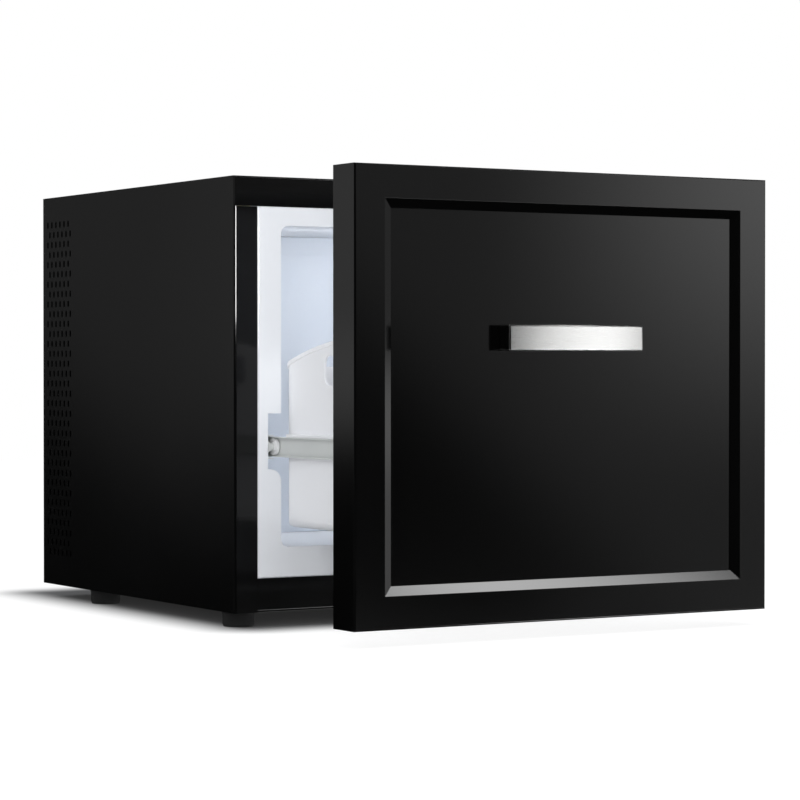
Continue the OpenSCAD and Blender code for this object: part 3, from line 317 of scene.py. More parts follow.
class Look(Enum):
    """Every finish of the object, named for its material and how its surface was made."""

    # Black powder coat: glossy, with the faint orange peel that baked powder flows out to
    POWDER_COAT = Finish(
        "powder_coated_steel", "050505", "070707", 0.12, specular=0.3, grain=3, bump=0.003
    )
    # Moulded ABS from a polished tool: deep black with a soft high gloss
    GLOSS_ABS = Finish("gloss_moulded_abs", "030303", "050505", 0.09, grain=8, bump=0.002)
    # Cast acrylic: flat, mirror-like and black all through
    ACRYLIC = Finish("cast_black_acrylic", "030303", "040404", 0.08, ior=1.49, grain=40, bump=0.002)
    # Anodised aluminium, brushed along its length: grey, with lights stretched across the brushing
    BRUSHED = Brushed(
        "brushed_anodised_aluminium", "CDCDCC", "D8D8D7", 0.28,
        metallic=1.0, anisotropic=0.85, grain=0.35, bump=0.001, rough_spread=0.03,
    )
    # Diamond-cut rim: the bright turned edge round a brushed face
    CUT_RIM = Finish(
        "diamond_cut_aluminium", "DADCDD", "E6E7E8", 0.12, metallic=1.0, grain=0.6, bump=0.002
    )
    # Satin black painted zinc casting: dark, with wide dull lights
    SATIN_POST = Finish("satin_painted_zinc", "040404", "060606", 0.4, specular=0.3, grain=1.2)
    # Vacuum-formed polystyrene: white, slightly cool, softly glossy with a faint sag pattern
    LINER = Finish("vacuum_formed_polystyrene", "E6E8EC", "EAECEF", 0.33, grain=12, bump=0.03)
    # Pale blue injection-moulded polystyrene with a fine sparked grain
    ICE = Finish("moulded_ice_polystyrene", "CFD7E2", "D5DCE6", 0.4, grain=0.8, bump=0.015)
    # Natural polypropylene: milky, light passes through its walls
    BIN = Translucent("moulded_polypropylene", "EFF0F3", "F1F2F5", 0.33, grain=5, bump=0.02)
    # Frosted acrylic lens over the lamp, lit from behind
    LENS = Translucent(
        "frosted_acrylic_lens", "F4F6FA", "FAFBFD", 0.45, grain=0.6, bump=0.01, glow=1.0
    )
    # White ABS of small parts, from a satin tool
    WHITE_ABS = Finish("satin_white_abs", "E4E5E6", "EAEBEC", 0.38, grain=0.9, bump=0.01)
    # Glass-filled black nylon of fans and sockets, from a grained tool: matt, dark grey
    DARK_NYLON = Finish("grained_black_nylon", "1B1B1D", "232325", 0.5, grain=0.7, bump=0.03)
    # Moulded rubber of the feet: matt, slightly dusty
    RUBBER = Finish("moulded_rubber", "151515", "1E1E1E", 0.75, ior=1.52, grain=0.5, bump=0.03)
    # Soft PVC of the gasket: matt with a faint skin
    GASKET = Finish("extruded_soft_pvc", "1A1A1C", "222224", 0.55, ior=1.53, grain=0.8, bump=0.02)
    # Zinc-plated strip steel: bright, cloudy, with a trace of blue
    ZINC = Plated(
        "zinc_plated_steel", "B4B7BA", "CDD0D2", 0.3,
        metallic=1.0, grain=0.8, bump=0.004, rough_spread=0.1,
    )
    # Light grey epoxy coat on rolled steel: smooth, half glossy
    EPOXY = Finish("epoxy_coated_steel", "C9CCCB", "D3D6D4", 0.33, grain=1.5, bump=0.006)
    # Extruded aluminium of the heat sinks: die lines along the fins
    EXTRUDED = Brushed(
        "extruded_aluminium", "A9ABAD", "C2C4C6", 0.38,
        metallic=1.0, grain=0.5, bump=0.01, stretch=(1, 1, 60),
    )
    # Sintered alumina plates of the thermoelectric module: chalk white and matt
    ALUMINA = Finish("sintered_alumina", "E9E7E1", "F1EFEA", 0.6, ior=1.7, grain=0.4, bump=0.01)
    # Rigid polyurethane foam: straw yellow, dull, rough with cut cells
    FOAM = Cellular("rigid_polyurethane_foam", "E9DDB4", "D9C993", 0.85, grain=1.6, bump=0.4)
    # Fibreglass circuit board: dark green lacquer, lighter over the copper tracks
    BOARD = Laminate("lacquered_fibreglass_board", "14532D", "2F8F4E", 0.3, grain=2.0, bump=0.03)
    # Brass-plated pins: yellow and bright, with faint clouds
    BRASS = Plated("plated_brass", "C9A858", "DCC27E", 0.22, metallic=1.0, grain=0.5, bump=0.003)
    # Pad-printed ink: thin, matt and dark grey
    INK = Finish("printed_ink", "3A3E44", "43474D", 0.6, grain=0.3, bump=0.002)
    # Extruded PVC wire insulation: dull red with a waxy light
    WIRE = Finish("extruded_pvc_sheath", "8E1B1B", "9E2723", 0.42, grain=1.0, bump=0.01)


def both(*stems: str) -> tuple[str, ...]:
    """Returns the names of the left and the right node of each stem."""
    return tuple(f"{stem}_{side}" for stem in stems for side in ("left", "right"))


NODES_OF: dict[Look, tuple[str, ...]] = {
    Look.POWDER_COAT: (*both("side_panel"), "top_panel", "base_pan", "back_panel"),
    Look.GLOSS_ABS: ("front_frame",),
    Look.ACRYLIC: ("front_panel",),
    Look.BRUSHED: ("handle_bar",),
    Look.SATIN_POST: ("handle_posts",),
    Look.LINER: ("inner_liner", "drawer_liner"),
    Look.ICE: ("evaporator_cover",),
    Look.BIN: ("bin",),
    Look.LENS: ("lamp_lens",),
    Look.WHITE_ABS: (
        *both("front_roller", "rear_roller"), "cover_screws", "thermostat", "temperature_dial",
        "board_spacers", "drain_tube",
    ),
    Look.DARK_NYLON: (
        "cold_fan_frame", "cold_fan_rotor", "hot_fan_frame", "hot_fan_rotor", "reed_switch",
        "switch_magnet", "board_components", "mains_inlet", "drip_tray",
    ),
    Look.RUBBER: both("foot_front", "foot_rear"),
    Look.GASKET: ("drawer_gasket",),
    Look.ZINC: (
        "bulkhead", "case_screws", "slide_screws", "bracket_screws", "handle_screws",
        "fan_screws", "sink_bolts",
    ),
    Look.EPOXY: (*both("slide_outer", "slide_inner"), "slide_brackets"),
    Look.EXTRUDED: ("cold_sink", "hot_sink", "spacer_block"),
    Look.ALUMINA: ("peltier_module",),
    Look.FOAM: ("insulation_foam", "drawer_insulation"),
    Look.BOARD: ("power_board", "lamp_board"),
    Look.BRASS: ("inlet_pins",),
    Look.WIRE: ("wiring_harness",),
}

LOOK_OF: dict[str, Look] = {name: look for look, names in NODES_OF.items() for name in names}


def dress(piece: Piece, look: Look) -> None:
    """Gives every face of a piece one finish.

    Args:
        piece: The piece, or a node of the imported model.
        look: The finish.
    """
    if not piece.material_slots:
        piece.data.materials.append(None)
    for slot in piece.material_slots:
        slot.material = look.value.material()


def dress_nodes() -> None:
    """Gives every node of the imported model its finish."""
    for name, look in LOOK_OF.items():
        dress(frame["nodes"][name], look)
    LOG.info("%d nodes dressed", len(LOOK_OF))


# ---- Modelling ----

# Added to a length along Y that is measured in the cabinet, or in the drawer, in millimetres
CABINET_Y = -108.5
DRAWER_Y = -305.5

# Points nearer than this are one, in millimetres, and faces that turn less are one, in degrees
ONE_POINT = 0.001
ONE_FACE = 0.2

RIGHT = Vector((1, 0, 0))
LEFT = Vector((-1, 0, 0))
FORWARDS = Vector((0, -1, 0))
BACKWARDS = Vector((0, 1, 0))
UP = Vector((0, 0, 1))
DOWN = Vector((0, 0, -1))
UPRIGHT = (math.radians(90), 0, 0)


class Part(Enum):
    """What of a mesh is picked."""

    FACES = "FACE"
    EDGES = "EDGE"


def spot(x: float, y: float, z: float) -> Vector:
    """Returns a point of the model in metres, from millimetres."""
    return Vector((x, y, z)) * MM


def along(direction: Vector, axis: str) -> bool:
    """Returns whether a direction runs along the X, Y or Z axis, either way."""
    return abs(getattr(direction, axis.lower())) > 0.999


def faces(normal: Vector, way: Vector) -> bool:
    """Returns whether a face looks a given way, or nearly."""
    return normal.dot(way) > 0.9


def select_only(piece: Piece) -> None:
    """Selects one piece and nothing else.

    Args:
        piece: The piece.
    """
    bpy.ops.object.select_all(action="DESELECT")
    piece.select_set(True)
    bpy.context.view_layer.objects.active = piece


def settle(piece: Piece, name: str) -> Piece:
    """Names a piece and moves its place and turn into its mesh.

    Args:
        piece: The piece.
        name: Its name.

    Returns:
        The same piece.
    """
    piece.name = name
    piece.data.name = name
    select_only(piece)
    bpy.ops.object.transform_apply(location=True, rotation=True, scale=True)
    return piece


def add_primitive(kind: str, **settings: object) -> Piece:
    """Adds a primitive, with nothing else selected.

    Args:
        kind: The primitive's name in its operator.
        **settings: The operator's own settings.

    Returns:
        The new piece.
    """
    bpy.ops.object.select_all(action="DESELECT")
    getattr(bpy.ops.mesh, f"primitive_{kind}_add")(**settings)
    return bpy.context.active_object


def new_block(name: str, low: Vector, high: Vector) -> Piece:
    """Adds a block between two corners.

    Args:
        name: The new piece's name.
        low: Its lowest corner, in metres.
        high: Its highest corner.

    Returns:
        The block.
    """
    return settle(add_primitive("cube", size=1, location=(low + high) / 2, scale=high - low), name)


def new_rod(
    name: str, start: Vector, direction: Vector, length: float, radius: float, sides: int
) -> Piece:
    """Adds a round rod.

    Args:
        name: The new piece's name.
        start: The middle of its first end.
        direction: The way in which it runs.
        length: Its length.
        radius: Its radius.
        sides: Its number of sides.

    Returns:
        The rod.
    """
    turn = direction.to_track_quat("Z", "Y").to_euler()
    middle = start + direction.normalized() * (length / 2)
    rod = add_primitive(
        "cylinder", vertices=sides, radius=radius, depth=length, location=middle, rotation=turn
    )
    return settle(rod, name)


def open_mesh(piece: Piece) -> None:
    """Opens a piece for editing, with all of its edges selected.

    Args:
        piece: The piece.
    """
    select_only(piece)
    bpy.ops.object.mode_set(mode="EDIT")
    bpy.ops.mesh.select_mode(type=Part.EDGES.value)
    bpy.ops.mesh.select_all(action="SELECT")


def close_mesh() -> None:
    """Ends editing."""
    bpy.ops.object.mode_set(mode="OBJECT")


def pick(part: Part, test: Callable[[Vector, Vector], bool]) -> None:
    """Selects the faces or edges of the open mesh that pass a test, and nothing else.

    Args:
        part: Whether faces or edges are picked.
        test: Takes the middle of a face and its normal, or the middle of an edge and its
            direction, in metres, and returns whether it is wanted.
    """
    bpy.ops.mesh.select_mode(type=part.value)
    bpy.ops.mesh.select_all(action="DESELECT")
    data = bpy.context.active_object.data
    mesh = bmesh.from_edit_mesh(data)
    if part is Part.FACES:
        found = [face for face in mesh.faces if test(face.calc_center_median(), face.normal)]
    else:
        found = []
        for edge in mesh.edges:
            start, end = (vertex.co for vertex in edge.verts)
            if test((start + end) / 2, (end - start).normalized()):
                found.append(edge)
    for element in found:
        element.select_set(True)
    mesh.select_flush(True)
    bmesh.update_edit_mesh(data)


def pick_faces(way: Vector) -> None:
    """Selects the faces of the open mesh that look a given way, and nothing else."""
    pick(Part.FACES, lambda middle, normal: faces(normal, way))


def apply_modifier(piece: Piece, kind: str, **settings: object) -> None:
    """Adds a modifier with its settings and applies it.

    Args:
        piece: The piece.
        kind: The modifier's type.
        **settings: The modifier's own properties.
    """
    select_only(piece)
    modifier = piece.modifiers.new(kind.lower(), kind)
    for name, value in settings.items():
        setattr(modifier, name, value)
    bpy.ops.object.modifier_apply(modifier=modifier.name)


def unite(pieces: Sequence[Piece], name: str) -> Piece:
    """Joins several meshes into one piece.

    Args:
        pieces: The meshes.
        name: The new piece's name.

    Returns:
        The piece.
    """
    select_only(pieces[0])
    for piece in pieces:
        piece.select_set(True)
    bpy.ops.object.join()
    return settle(pieces[0], name)


def fit(piece: Piece, look: Look, body: str) -> None:
    """Dresses a finished piece and lets it move with a body.

    Args:
        piece: The piece.
        look: Its finish, where it has none yet.
        body: The body.
    """
    if not piece.material_slots:
        dress(piece, look)
    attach(piece, body)
    LOG.info("%s: %d faces", piece.name, len(piece.data.polygons))


def stand_in(piece: Piece, node: str, angle: float) -> None:
    """Smooths a finished piece and puts it in place of a node, with its finish and its body.

    Args:
        piece: The piece. Its flat faces stay flat.
        node: The node.
        angle: The angle, in degrees, from which an edge stays sharp.
    """
    select_only(piece)
    bpy.ops.object.shade_smooth_by_angle(angle=math.radians(angle))
    apply_modifier(piece, "WEIGHTED_NORMAL", keep_sharp=True, weight=60)
    fit(piece, LOOK_OF[node], frame["nodes"][node]["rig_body"])
    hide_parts(node)


def eased(node: str, width: float, segments: int = 2, angle: float = 40) -> None:
    """Takes a node's own shape and eases its sharp edges, as a mould or a tumbler does.

    Args:
        node: The node that the new piece replaces.
        width: How far the easing runs from each edge, in millimetres.
        segments: How many faces the easing has.
        angle: The angle, in degrees, from which an edge is sharp.
    """
    source = frame["nodes"][node]
    piece = source.copy()
    piece.data = source.data.copy()
    piece.parent = None
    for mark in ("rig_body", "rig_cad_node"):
        del piece[mark]
    bpy.context.scene.collection.objects.link(piece)
    piece.name = f"{node}_eased"
    piece.data.name = piece.name
    piece.data.materials.clear()
    select_only(piece)
    bpy.ops.mesh.customdata_custom_splitnormals_clear()
    open_mesh(piece)
    bpy.ops.mesh.remove_doubles(threshold=ONE_POINT * MM)
    bpy.ops.mesh.dissolve_limited(angle_limit=math.radians(ONE_FACE))
    close_mesh()
    apply_modifier(
        piece,
        "BEVEL",
        width=width * MM,
        segments=segments,
        limit_method="ANGLE",
        angle_limit=math.radians(angle),
        use_clamp_overlap=False,
        miter_outer="MITER_ARC",
    )
    stand_in(piece, node, angle)


@dataclass
class Handle:
    """The bowed bar and its two posts, in millimetres."""

    width: float = 156
    height: float = 25
    thick: float = 3
    bow: float = 3
    middle_z: float = 288.5
    face_y: float = DRAWER_Y - 56
    corner: float = 1.5
    rim: float = 0.8
    loops: int = 47
    post_edge: float = 0.8

    def build(self) -> None:
        """Builds and dresses the whole handle."""
        self.build_bar()
        eased("handle_posts", self.post_edge, segments=3)

    def build_bar(self) -> None:
        """Models the bar: a brushed face with a cut rim, painted at the back, then bowed."""
        half = self.width / 2
        rise = self.height / 2
        bar = new_block(
            "handle_bar_bowed",
            spot(-half, self.face_y, self.middle_z - rise),
            spot(half, self.face_y + self.thick, self.middle_z + rise),
        )
        looks = (Look.BRUSHED, Look.CUT_RIM, Look.SATIN_POST)
        for look in looks:
            bar.data.materials.append(look.value.material())
        open_mesh(bar)
        pick(Part.EDGES, lambda middle, way: along(way, "Y"))
        bpy.ops.mesh.bevel(offset=self.corner * MM, segments=4, material=0)
        pick(Part.EDGES, lambda middle, way: along(way, "X"))
        bpy.ops.mesh.subdivide(number_cuts=self.loops)
        back = (self.face_y + self.thick / 2) * MM
        pick_faces(BACKWARDS)
        bar.active_material_index = looks.index(Look.SATIN_POST)
        bpy.ops.object.material_slot_assign()
        pick(Part.FACES, lambda middle, normal: middle.y < back and faces(normal, FORWARDS))
        bpy.ops.mesh.select_mode(type=Part.EDGES.value)
        bpy.ops.mesh.region_to_loop()
        bpy.ops.mesh.bevel(offset=self.rim * MM, segments=1, material=looks.index(Look.CUT_RIM))
        close_mesh()
        bpy.ops.object.origin_set(type="ORIGIN_GEOMETRY", center="BOUNDS")
        radius = (half**2 + self.bow**2) / (2 * self.bow)
        bend = 2 * math.asin(half / radius)
        apply_modifier(bar, "SIMPLE_DEFORM", deform_method="BEND", deform_axis="Z", angle=bend)
        settle(bar, bar.name)
        low = min(corner.co.y for corner in bar.data.vertices)
        bar.location.y = self.face_y * MM - low
        settle(bar, bar.name)
        stand_in(bar, "handle_bar", angle=30)


@dataclass
class Gasket:
    """The magnetic seal round the back of the drawer front, in millimetres.

    Each fold says how much wider the ring gets at each side, and how far it is pulled out. They
    add up to a seal 7.7 deep: its foot, the bellows and the flat magnetic lip.
    """

    half_width: float = 225.75
    low: float = 32
    high: float = 436
    width: float = 14
    seat_y: float = DRAWER_Y - 2
    outer_corner: float = 8
    inner_corner: float = 4
    folds: tuple[tuple[float, float], ...] = (
        (0, 2.0), (-2.6, 0.3), (1.6, 1.0), (-1.6, 1.0),
        (1.6, 1.0), (-1.8, 0.8), (1.8, 0.2), (0, 1.4),
    )

    def build(self) -> None:
        """Models the seal from its foot to its lip, fold by fold."""
        outer = self.loop("gasket_outside", self.width / 2, self.outer_corner)
        inner = self.loop("gasket_inside", -self.width / 2, self.inner_corner)
        ring = unite((outer, inner), "gasket_bellows")
        open_mesh(ring)
        bpy.ops.mesh.bridge_edge_loops()
        bpy.ops.mesh.select_all(action="SELECT")
        bpy.ops.mesh.normals_make_consistent(inside=False)
        pick(Part.FACES, lambda middle, normal: along(normal, "Y"))
        for out, far in self.folds:
            self.grow(out, far)
        close_mesh()
        open_mesh(ring)
        bpy.ops.mesh.normals_make_consistent(inside=False)
        close_mesh()
        stand_in(ring, "drawer_gasket", angle=50)

    def loop(self, name: str, grow: float, radius: float) -> Piece:
        """Adds a rounded rectangle of edges, which stands upright.

        Args:
            name: Its name.
            grow: How far it lies outside the seal's middle line.
            radius: Its corner radius.

        Returns:
            The loop.
        """
        middle = spot(0, self.seat_y, (self.low + self.high) / 2)
        plane = add_primitive("plane", size=1, location=middle, rotation=UPRIGHT)
        wide = 2 * (self.half_width + grow) * MM
        tall = (self.high - self.low + 2 * grow) * MM
        plane.scale = (wide, tall, 1)
        settle(plane, name)
        open_mesh(plane)
        bpy.ops.mesh.delete(type="ONLY_FACE")
        bpy.ops.mesh.select_all(action="SELECT")
        bpy.ops.mesh.bevel(offset=radius * MM, segments=6, affect="VERTICES")
        close_mesh()
        return plane

    @staticmethod
    def grow(out: float, far: float) -> None:
        """Pulls the picked ring out towards the cabinet, and widens it or narrows it.

        Args:
            out: How much wider it gets at each side.
            far: How far it is pulled.
        """
        bpy.ops.mesh.extrude_region_move(TRANSFORM_OT_translate={"value": (0, far * MM, 0)})
        if out:
            bpy.ops.mesh.inset(thickness=abs(out) * MM, depth=0, use_outset=out > 0)


@dataclass
class ScrewSet:
    """Screws of one kind: modelled once, and copied to their places. Millimetres.

    Each place is the middle of the underside of a head, and the way in which the head points.
    """

    # Parts of the head's height: its rounded edge, and the floor of its crosshead
    rounded: ClassVar[float] = 0.45
    cross_floor: ClassVar[float] = 0.4
    # Parts of the head's radius: half the crosshead's length and half its width
    cross_long: ClassVar[float] = 0.56
    cross_wide: ClassVar[float] = 0.15

    node: str
    radius: float
    height: float
    shank: float
    length: float
    places: Places
    shorter: "ScrewSet | None" = None

    def build(self) -> None:
        """Builds the screws as one piece, with the shorter ones that share their node."""
        copies = self.copies()
        if self.shorter:
            copies += self.shorter.copies()
        stand_in(unite(copies, f"{self.node}_crosshead"), self.node, angle=45)

    def copies(self) -> list[Piece]:
        """Models one screw and copies it to every place.

        Returns:
            The copies.
        """
        first = self.model()
        copies = []
        for place, way in self.places:
            copy = first.copy()
            copy.data = first.data.copy()
            bpy.context.scene.collection.objects.link(copy)
            turn = way.to_track_quat("Z", "Y").to_matrix().to_4x4()
            copy.matrix_world = Matrix.Translation(place) @ turn
            copies.append(settle(copy, f"{self.node}_copy"))
        bpy.data.objects.remove(first)
        return copies

    def model(self) -> Piece:
        """Models one screw along Z, with the underside of its head at zero.

        Returns:
            The screw.
        """
        screw = new_rod("screw", Vector((0, 0, 0)), UP, self.height * MM, self.radius * MM, 24)
        open_mesh(screw)
        pick_faces(UP)
        bpy.ops.mesh.bevel(offset=self.height * self.rounded * MM, segments=3)
        pick_faces(DOWN)
        bpy.ops.mesh.inset(thickness=(self.radius - self.shank) * MM, depth=0)
        down = (0, 0, -self.length * MM)
        bpy.ops.mesh.extrude_region_move(TRANSFORM_OT_translate={"value": down})
        close_mesh()
        long = self.radius * self.cross_long
        wide = self.radius * self.cross_wide
        low = self.height * self.cross_floor
        for x, y in ((long, wide), (wide, long)):
            slot = new_block("slot", spot(-x, -y, low), spot(x, y, self.height + 1))
            apply_modifier(screw, "BOOLEAN", operation="DIFFERENCE", object=slot, solver="EXACT")
            bpy.data.objects.remove(slot)
        return screw


@dataclass
class Fan:
    """An axial fan's turning part with curved blades, in millimetres."""

    node: str
    size: float
    deep: float
    near_y: float
    middle_z: float = 200
    blades: int = 7
    end_gap: float = 3.5
    tip_gap: float = 3.2
    hub_edge: float = 1.2
    twist: float = 42
    blade_start: float = 1.6
    blade_short: float = 2.4
    wall: float = 1.1
    wall_edge: float = 0.35

    def build(self) -> None:
        """Models the hub and its blades, and joins them."""
        hub_radius = self.size / 6
        reach = self.deep - self.end_gap
        start = spot(0, self.near_y + 1, self.middle_z)
        hub = new_rod("hub", start, BACKWARDS, (reach - 1) * MM, hub_radius * MM, 48)
        open_mesh(hub)
        pick(Part.FACES, lambda middle, normal: along(normal, "Y"))
        bpy.ops.mesh.bevel(offset=self.hub_edge * MM, segments=3)
        pick_faces(FORWARDS)
        bpy.ops.mesh.inset(thickness=1.5 * MM, depth=-0.6 * MM)
        close_mesh()
        pieces = [hub]
        for index in range(self.blades):
            pieces.append(self.blade(hub_radius - 1, reach, index * math.tau / self.blades))
        stand_in(unite(pieces, f"{self.node}_bladed"), self.node, angle=35)

    def blade(self, root: float, reach: float, turn: float) -> Piece:
        """Models one blade as a strip of a helix with a wall.

        Args:
            root: Its inner radius.
            reach: The rotor's depth.
            turn: Its turn about the axle, in radians.

        Returns:
            The blade.
        """
        tip = self.size / 2 - self.tip_gap
        strip = add_primitive("plane", size=1, location=(0, 0, 0))
        open_mesh(strip)
        # Only the plane's right edge is kept, and swept
        pick(Part.EDGES, lambda middle, way: middle.x < -0.4)
        bpy.ops.mesh.delete(type="VERT")
        bpy.ops.mesh.select_all(action="SELECT")
        bpy.ops.mesh.subdivide(number_cuts=5)
        close_mesh()
        strip.scale = (0, (tip - root) * MM, 0)
        strip.rotation_euler = UPRIGHT
        strip.location = (0, 0, (root + tip) / 2 * MM)
        settle(strip, "blade")
        apply_modifier(
            strip,
            "SCREW",
            axis="Y",
            angle=math.radians(self.twist),
            screw_offset=(reach - self.blade_short) * MM,
            steps=8,
            render_steps=8,
        )
        apply_modifier(strip, "SOLIDIFY", thickness=self.wall * MM, offset=0)
        apply_modifier(strip, "BEVEL", width=self.wall_edge * MM, segments=2, limit_method="ANGLE")
        strip.rotation_euler = (0, turn, 0)
        strip.location = spot(0, self.near_y + self.blade_start, self.middle_z)
        return settle(strip, "blade")


@dataclass
class Dial:
    """The thermostat's knob and the numbers round it, in millimetres and degrees."""

    x: float = 130
    z: float = 308
    cover_y: float = CABINET_Y + 207
    radius: float = 14
    thick: float = 6.7
    stands_out: float = 7
    gap: float = 0.3
    ribs: int = 36
    rib_root: float = 0.6
    rib_high: float = 0.55
    grip_half_wide: float = 2
    grip_half_long: float = 9
    grip_high: float = 0.5
    pointer_half_wide: float = 0.7
    pointer_reach: tuple[float, float] = (2.5, 8.2)
    numbers: tuple[str, ...] = ("0", "1", "2", "3", "4", "5")
    number_size: float = 6
    number_radius: float = 20
    ink: float = 0.04
    sweep: float = 135

    def build(self) -> None:
        """Builds the knob and its numbers."""
        self.build_knob()
        self.build_numbers()

    def build_knob(self) -> None:
        """Models the knob: a ribbed edge, a dished face, a raised grip and a pointer."""
        front = self.cover_y - self.stands_out
        start = spot(self.x, self.cover_y - self.gap, self.z)
        root = (self.radius - self.rib_root) * MM
        knob = new_rod("knob", start, FORWARDS, self.thick * MM, root, 2 * self.ribs)
        axis = spot(self.x, 0, self.z)
        step = math.tau / self.ribs
        open_mesh(knob)

        def is_rib(middle: Vector, normal: Vector) -> bool:
            """Picks every other side face."""
            angle = math.atan2(middle.z - axis.z, middle.x - axis.x) % step
            return abs(normal.y) < 0.1 and angle < step / 2

        def is_face(middle: Vector, normal: Vector) -> bool:
            """Picks the round face on the axis."""
            return faces(normal, FORWARDS) and (Vector((middle.x, 0, middle.z)) - axis).length < MM

        pick(Part.FACES, is_rib)
        bpy.ops.mesh.extrude_faces_move(TRANSFORM_OT_shrink_fatten={"value": self.rib_high * MM})
        pick(Part.FACES, is_face)
        bpy.ops.mesh.inset(thickness=2.2 * MM, depth=0)
        bpy.ops.mesh.inset(thickness=0.8 * MM, depth=-0.5 * MM)
        close_mesh()
        wide = self.grip_half_wide
        long = self.grip_half_long
        grip = new_block(
            "grip",
            spot(self.x - wide, front - self.grip_high, self.z - long),
            spot(self.x + wide, front + 2, self.z + long),
        )
        open_mesh(grip)
        pick(Part.EDGES, lambda middle, way: middle.y < (front + 0.5) * MM)
        bpy.ops.mesh.bevel(offset=0.8 * MM, segments=3)
        close_mesh()
        near, far = self.pointer_reach
        pointer = new_block(
            "pointer",
            spot(self.x - self.pointer_half_wide, front - self.grip_high - 0.25, self.z + near),
            spot(self.x + self.pointer_half_wide, front, self.z + far),
        )
        for part in (knob, grip):
            dress(part, Look.WHITE_ABS)
        dress(pointer, Look.DARK_NYLON)
        stand_in(unite((knob, grip, pointer), "temperature_knob"), "temperature_dial", angle=35)

    def build_numbers(self) -> None:
        """Prints the plain numbers of the scale on the cover, as a thin raised ink."""
        marks = []
        for index, number in enumerate(self.numbers):
            share = index / (len(self.numbers) - 1)
            angle = math.radians(-self.sweep + 2 * self.sweep * share)
            bpy.ops.object.select_all(action="DESELECT")
            bpy.ops.object.text_add(rotation=UPRIGHT)
            text = bpy.context.active_object
            text.data.body = number
            text.data.size = self.number_size * MM
            text.data.extrude = self.ink * MM
            text.data.align_x = "CENTER"
            text.data.align_y = "CENTER"
            bpy.ops.object.convert(target="MESH")
            mark = bpy.context.active_object
            x = self.x + self.number_radius * math.sin(angle)
            z = self.z + self.number_radius * math.cos(angle)
            mark.location = spot(x, self.cover_y - self.ink, z)
            marks.append(settle(mark, "number"))
        fit(unite(marks, "dial_numbers"), Look.INK, "cabinet")


# ---- Studio ----


@dataclass(frozen=True)
class Glow:
    """One soft light patch of the room, as glossy surfaces show it.

    Angles are in degrees. Turn is 0 straight out from the drawer front and grows to the right,
    and a patch with a slant has sides that lean: its turn grows as its rise falls. Soft is the
    width of its fading edge.
    """

    turn: float
    rise: float
    half_wide: float
    half_high: float
    soft: float
    strength: float
    slant: float = 0.0

    def add(self, tree: Tree, turn: Socket, rise: Socket, room: Socket) -> Socket:
        """Adds the patch to the brightness of the room.

        Args:
            tree: The world's tree.
            turn: Socket of a direction's turn, in radians.
            rise: Socket of its rise, in radians.
            room: Socket of the brightness so far.

        Returns:
            The socket of the brightness with the patch.
        """
        lean = add_node(tree, "Math", {0: rise, 1: self.slant, 2: turn}, operation="MULTIPLY_ADD")
        across = self.band(tree, lean.outputs[0], self.turn, self.half_wide)
        up = self.band(tree, rise, self.rise, self.half_high)
        lit = add_node(tree, "Math", {0: across, 1: up}, operation="MULTIPLY")
        lights = {0: lit.outputs[0], 1: self.strength, 2: room}
        return add_node(tree, "Math", lights, operation="MULTIPLY_ADD").outputs[0]

    def band(self, tree: Tree, angle: Socket, middle: float, half: float) -> Socket:
        """Adds a band in one angle that fades at both sides.

        Args:
            tree: The world's tree.
            angle: Socket of the angle, in radians.
            middle: The band's middle, in degrees.
            half: Half its even width, in degrees.

        Returns:
            A socket that is 1 in the band and 0 outside it.
        """
        off = add_node(tree, "Math", {0: angle, 1: math.radians(middle)}, operation="SUBTRACT")
        away = add_node(tree, "Math", {0: off.outputs[0]}, operation="ABSOLUTE")
        fade = {
            "Value": away.outputs[0],
            "From Min": math.radians(half),
            "From Max": math.radians(half + self.soft),
            "To Min": 1.0,
            "To Max": 0.0,
        }
        band = add_node(tree, "MapRange", fade, interpolation_type="SMOOTHSTEP")
        return band.outputs["Result"]


@dataclass(frozen=True)
class Lamp:
    """A soft rectangular lamp: a light, or a card that only shows in gloss.

    Gloss doesn't mirror a light, because the room does.
    """

    name: str
    at: Triple
    aim: Triple
    size: tuple[float, float]
    watts: float
    card: bool = False

    def build(self) -> None:
        """Puts the lamp up and aims it."""
        data = bpy.data.lights.new(self.name, "AREA")
        data.shape = "RECTANGLE"
        data.size, data.size_y = self.size
        data.energy = self.watts
        lamp = bpy.data.objects.new(self.name, data)
        lamp.location = self.at
        way = Vector(self.aim) - Vector(self.at)
        lamp.rotation_euler = way.to_track_quat("-Z", "Y").to_euler()
        lamp.visible_camera = False
        lamp.visible_glossy = self.card
        lamp.visible_diffuse = not self.card
        lamp.visible_transmission = not self.card
        bpy.context.scene.collection.objects.link(lamp)


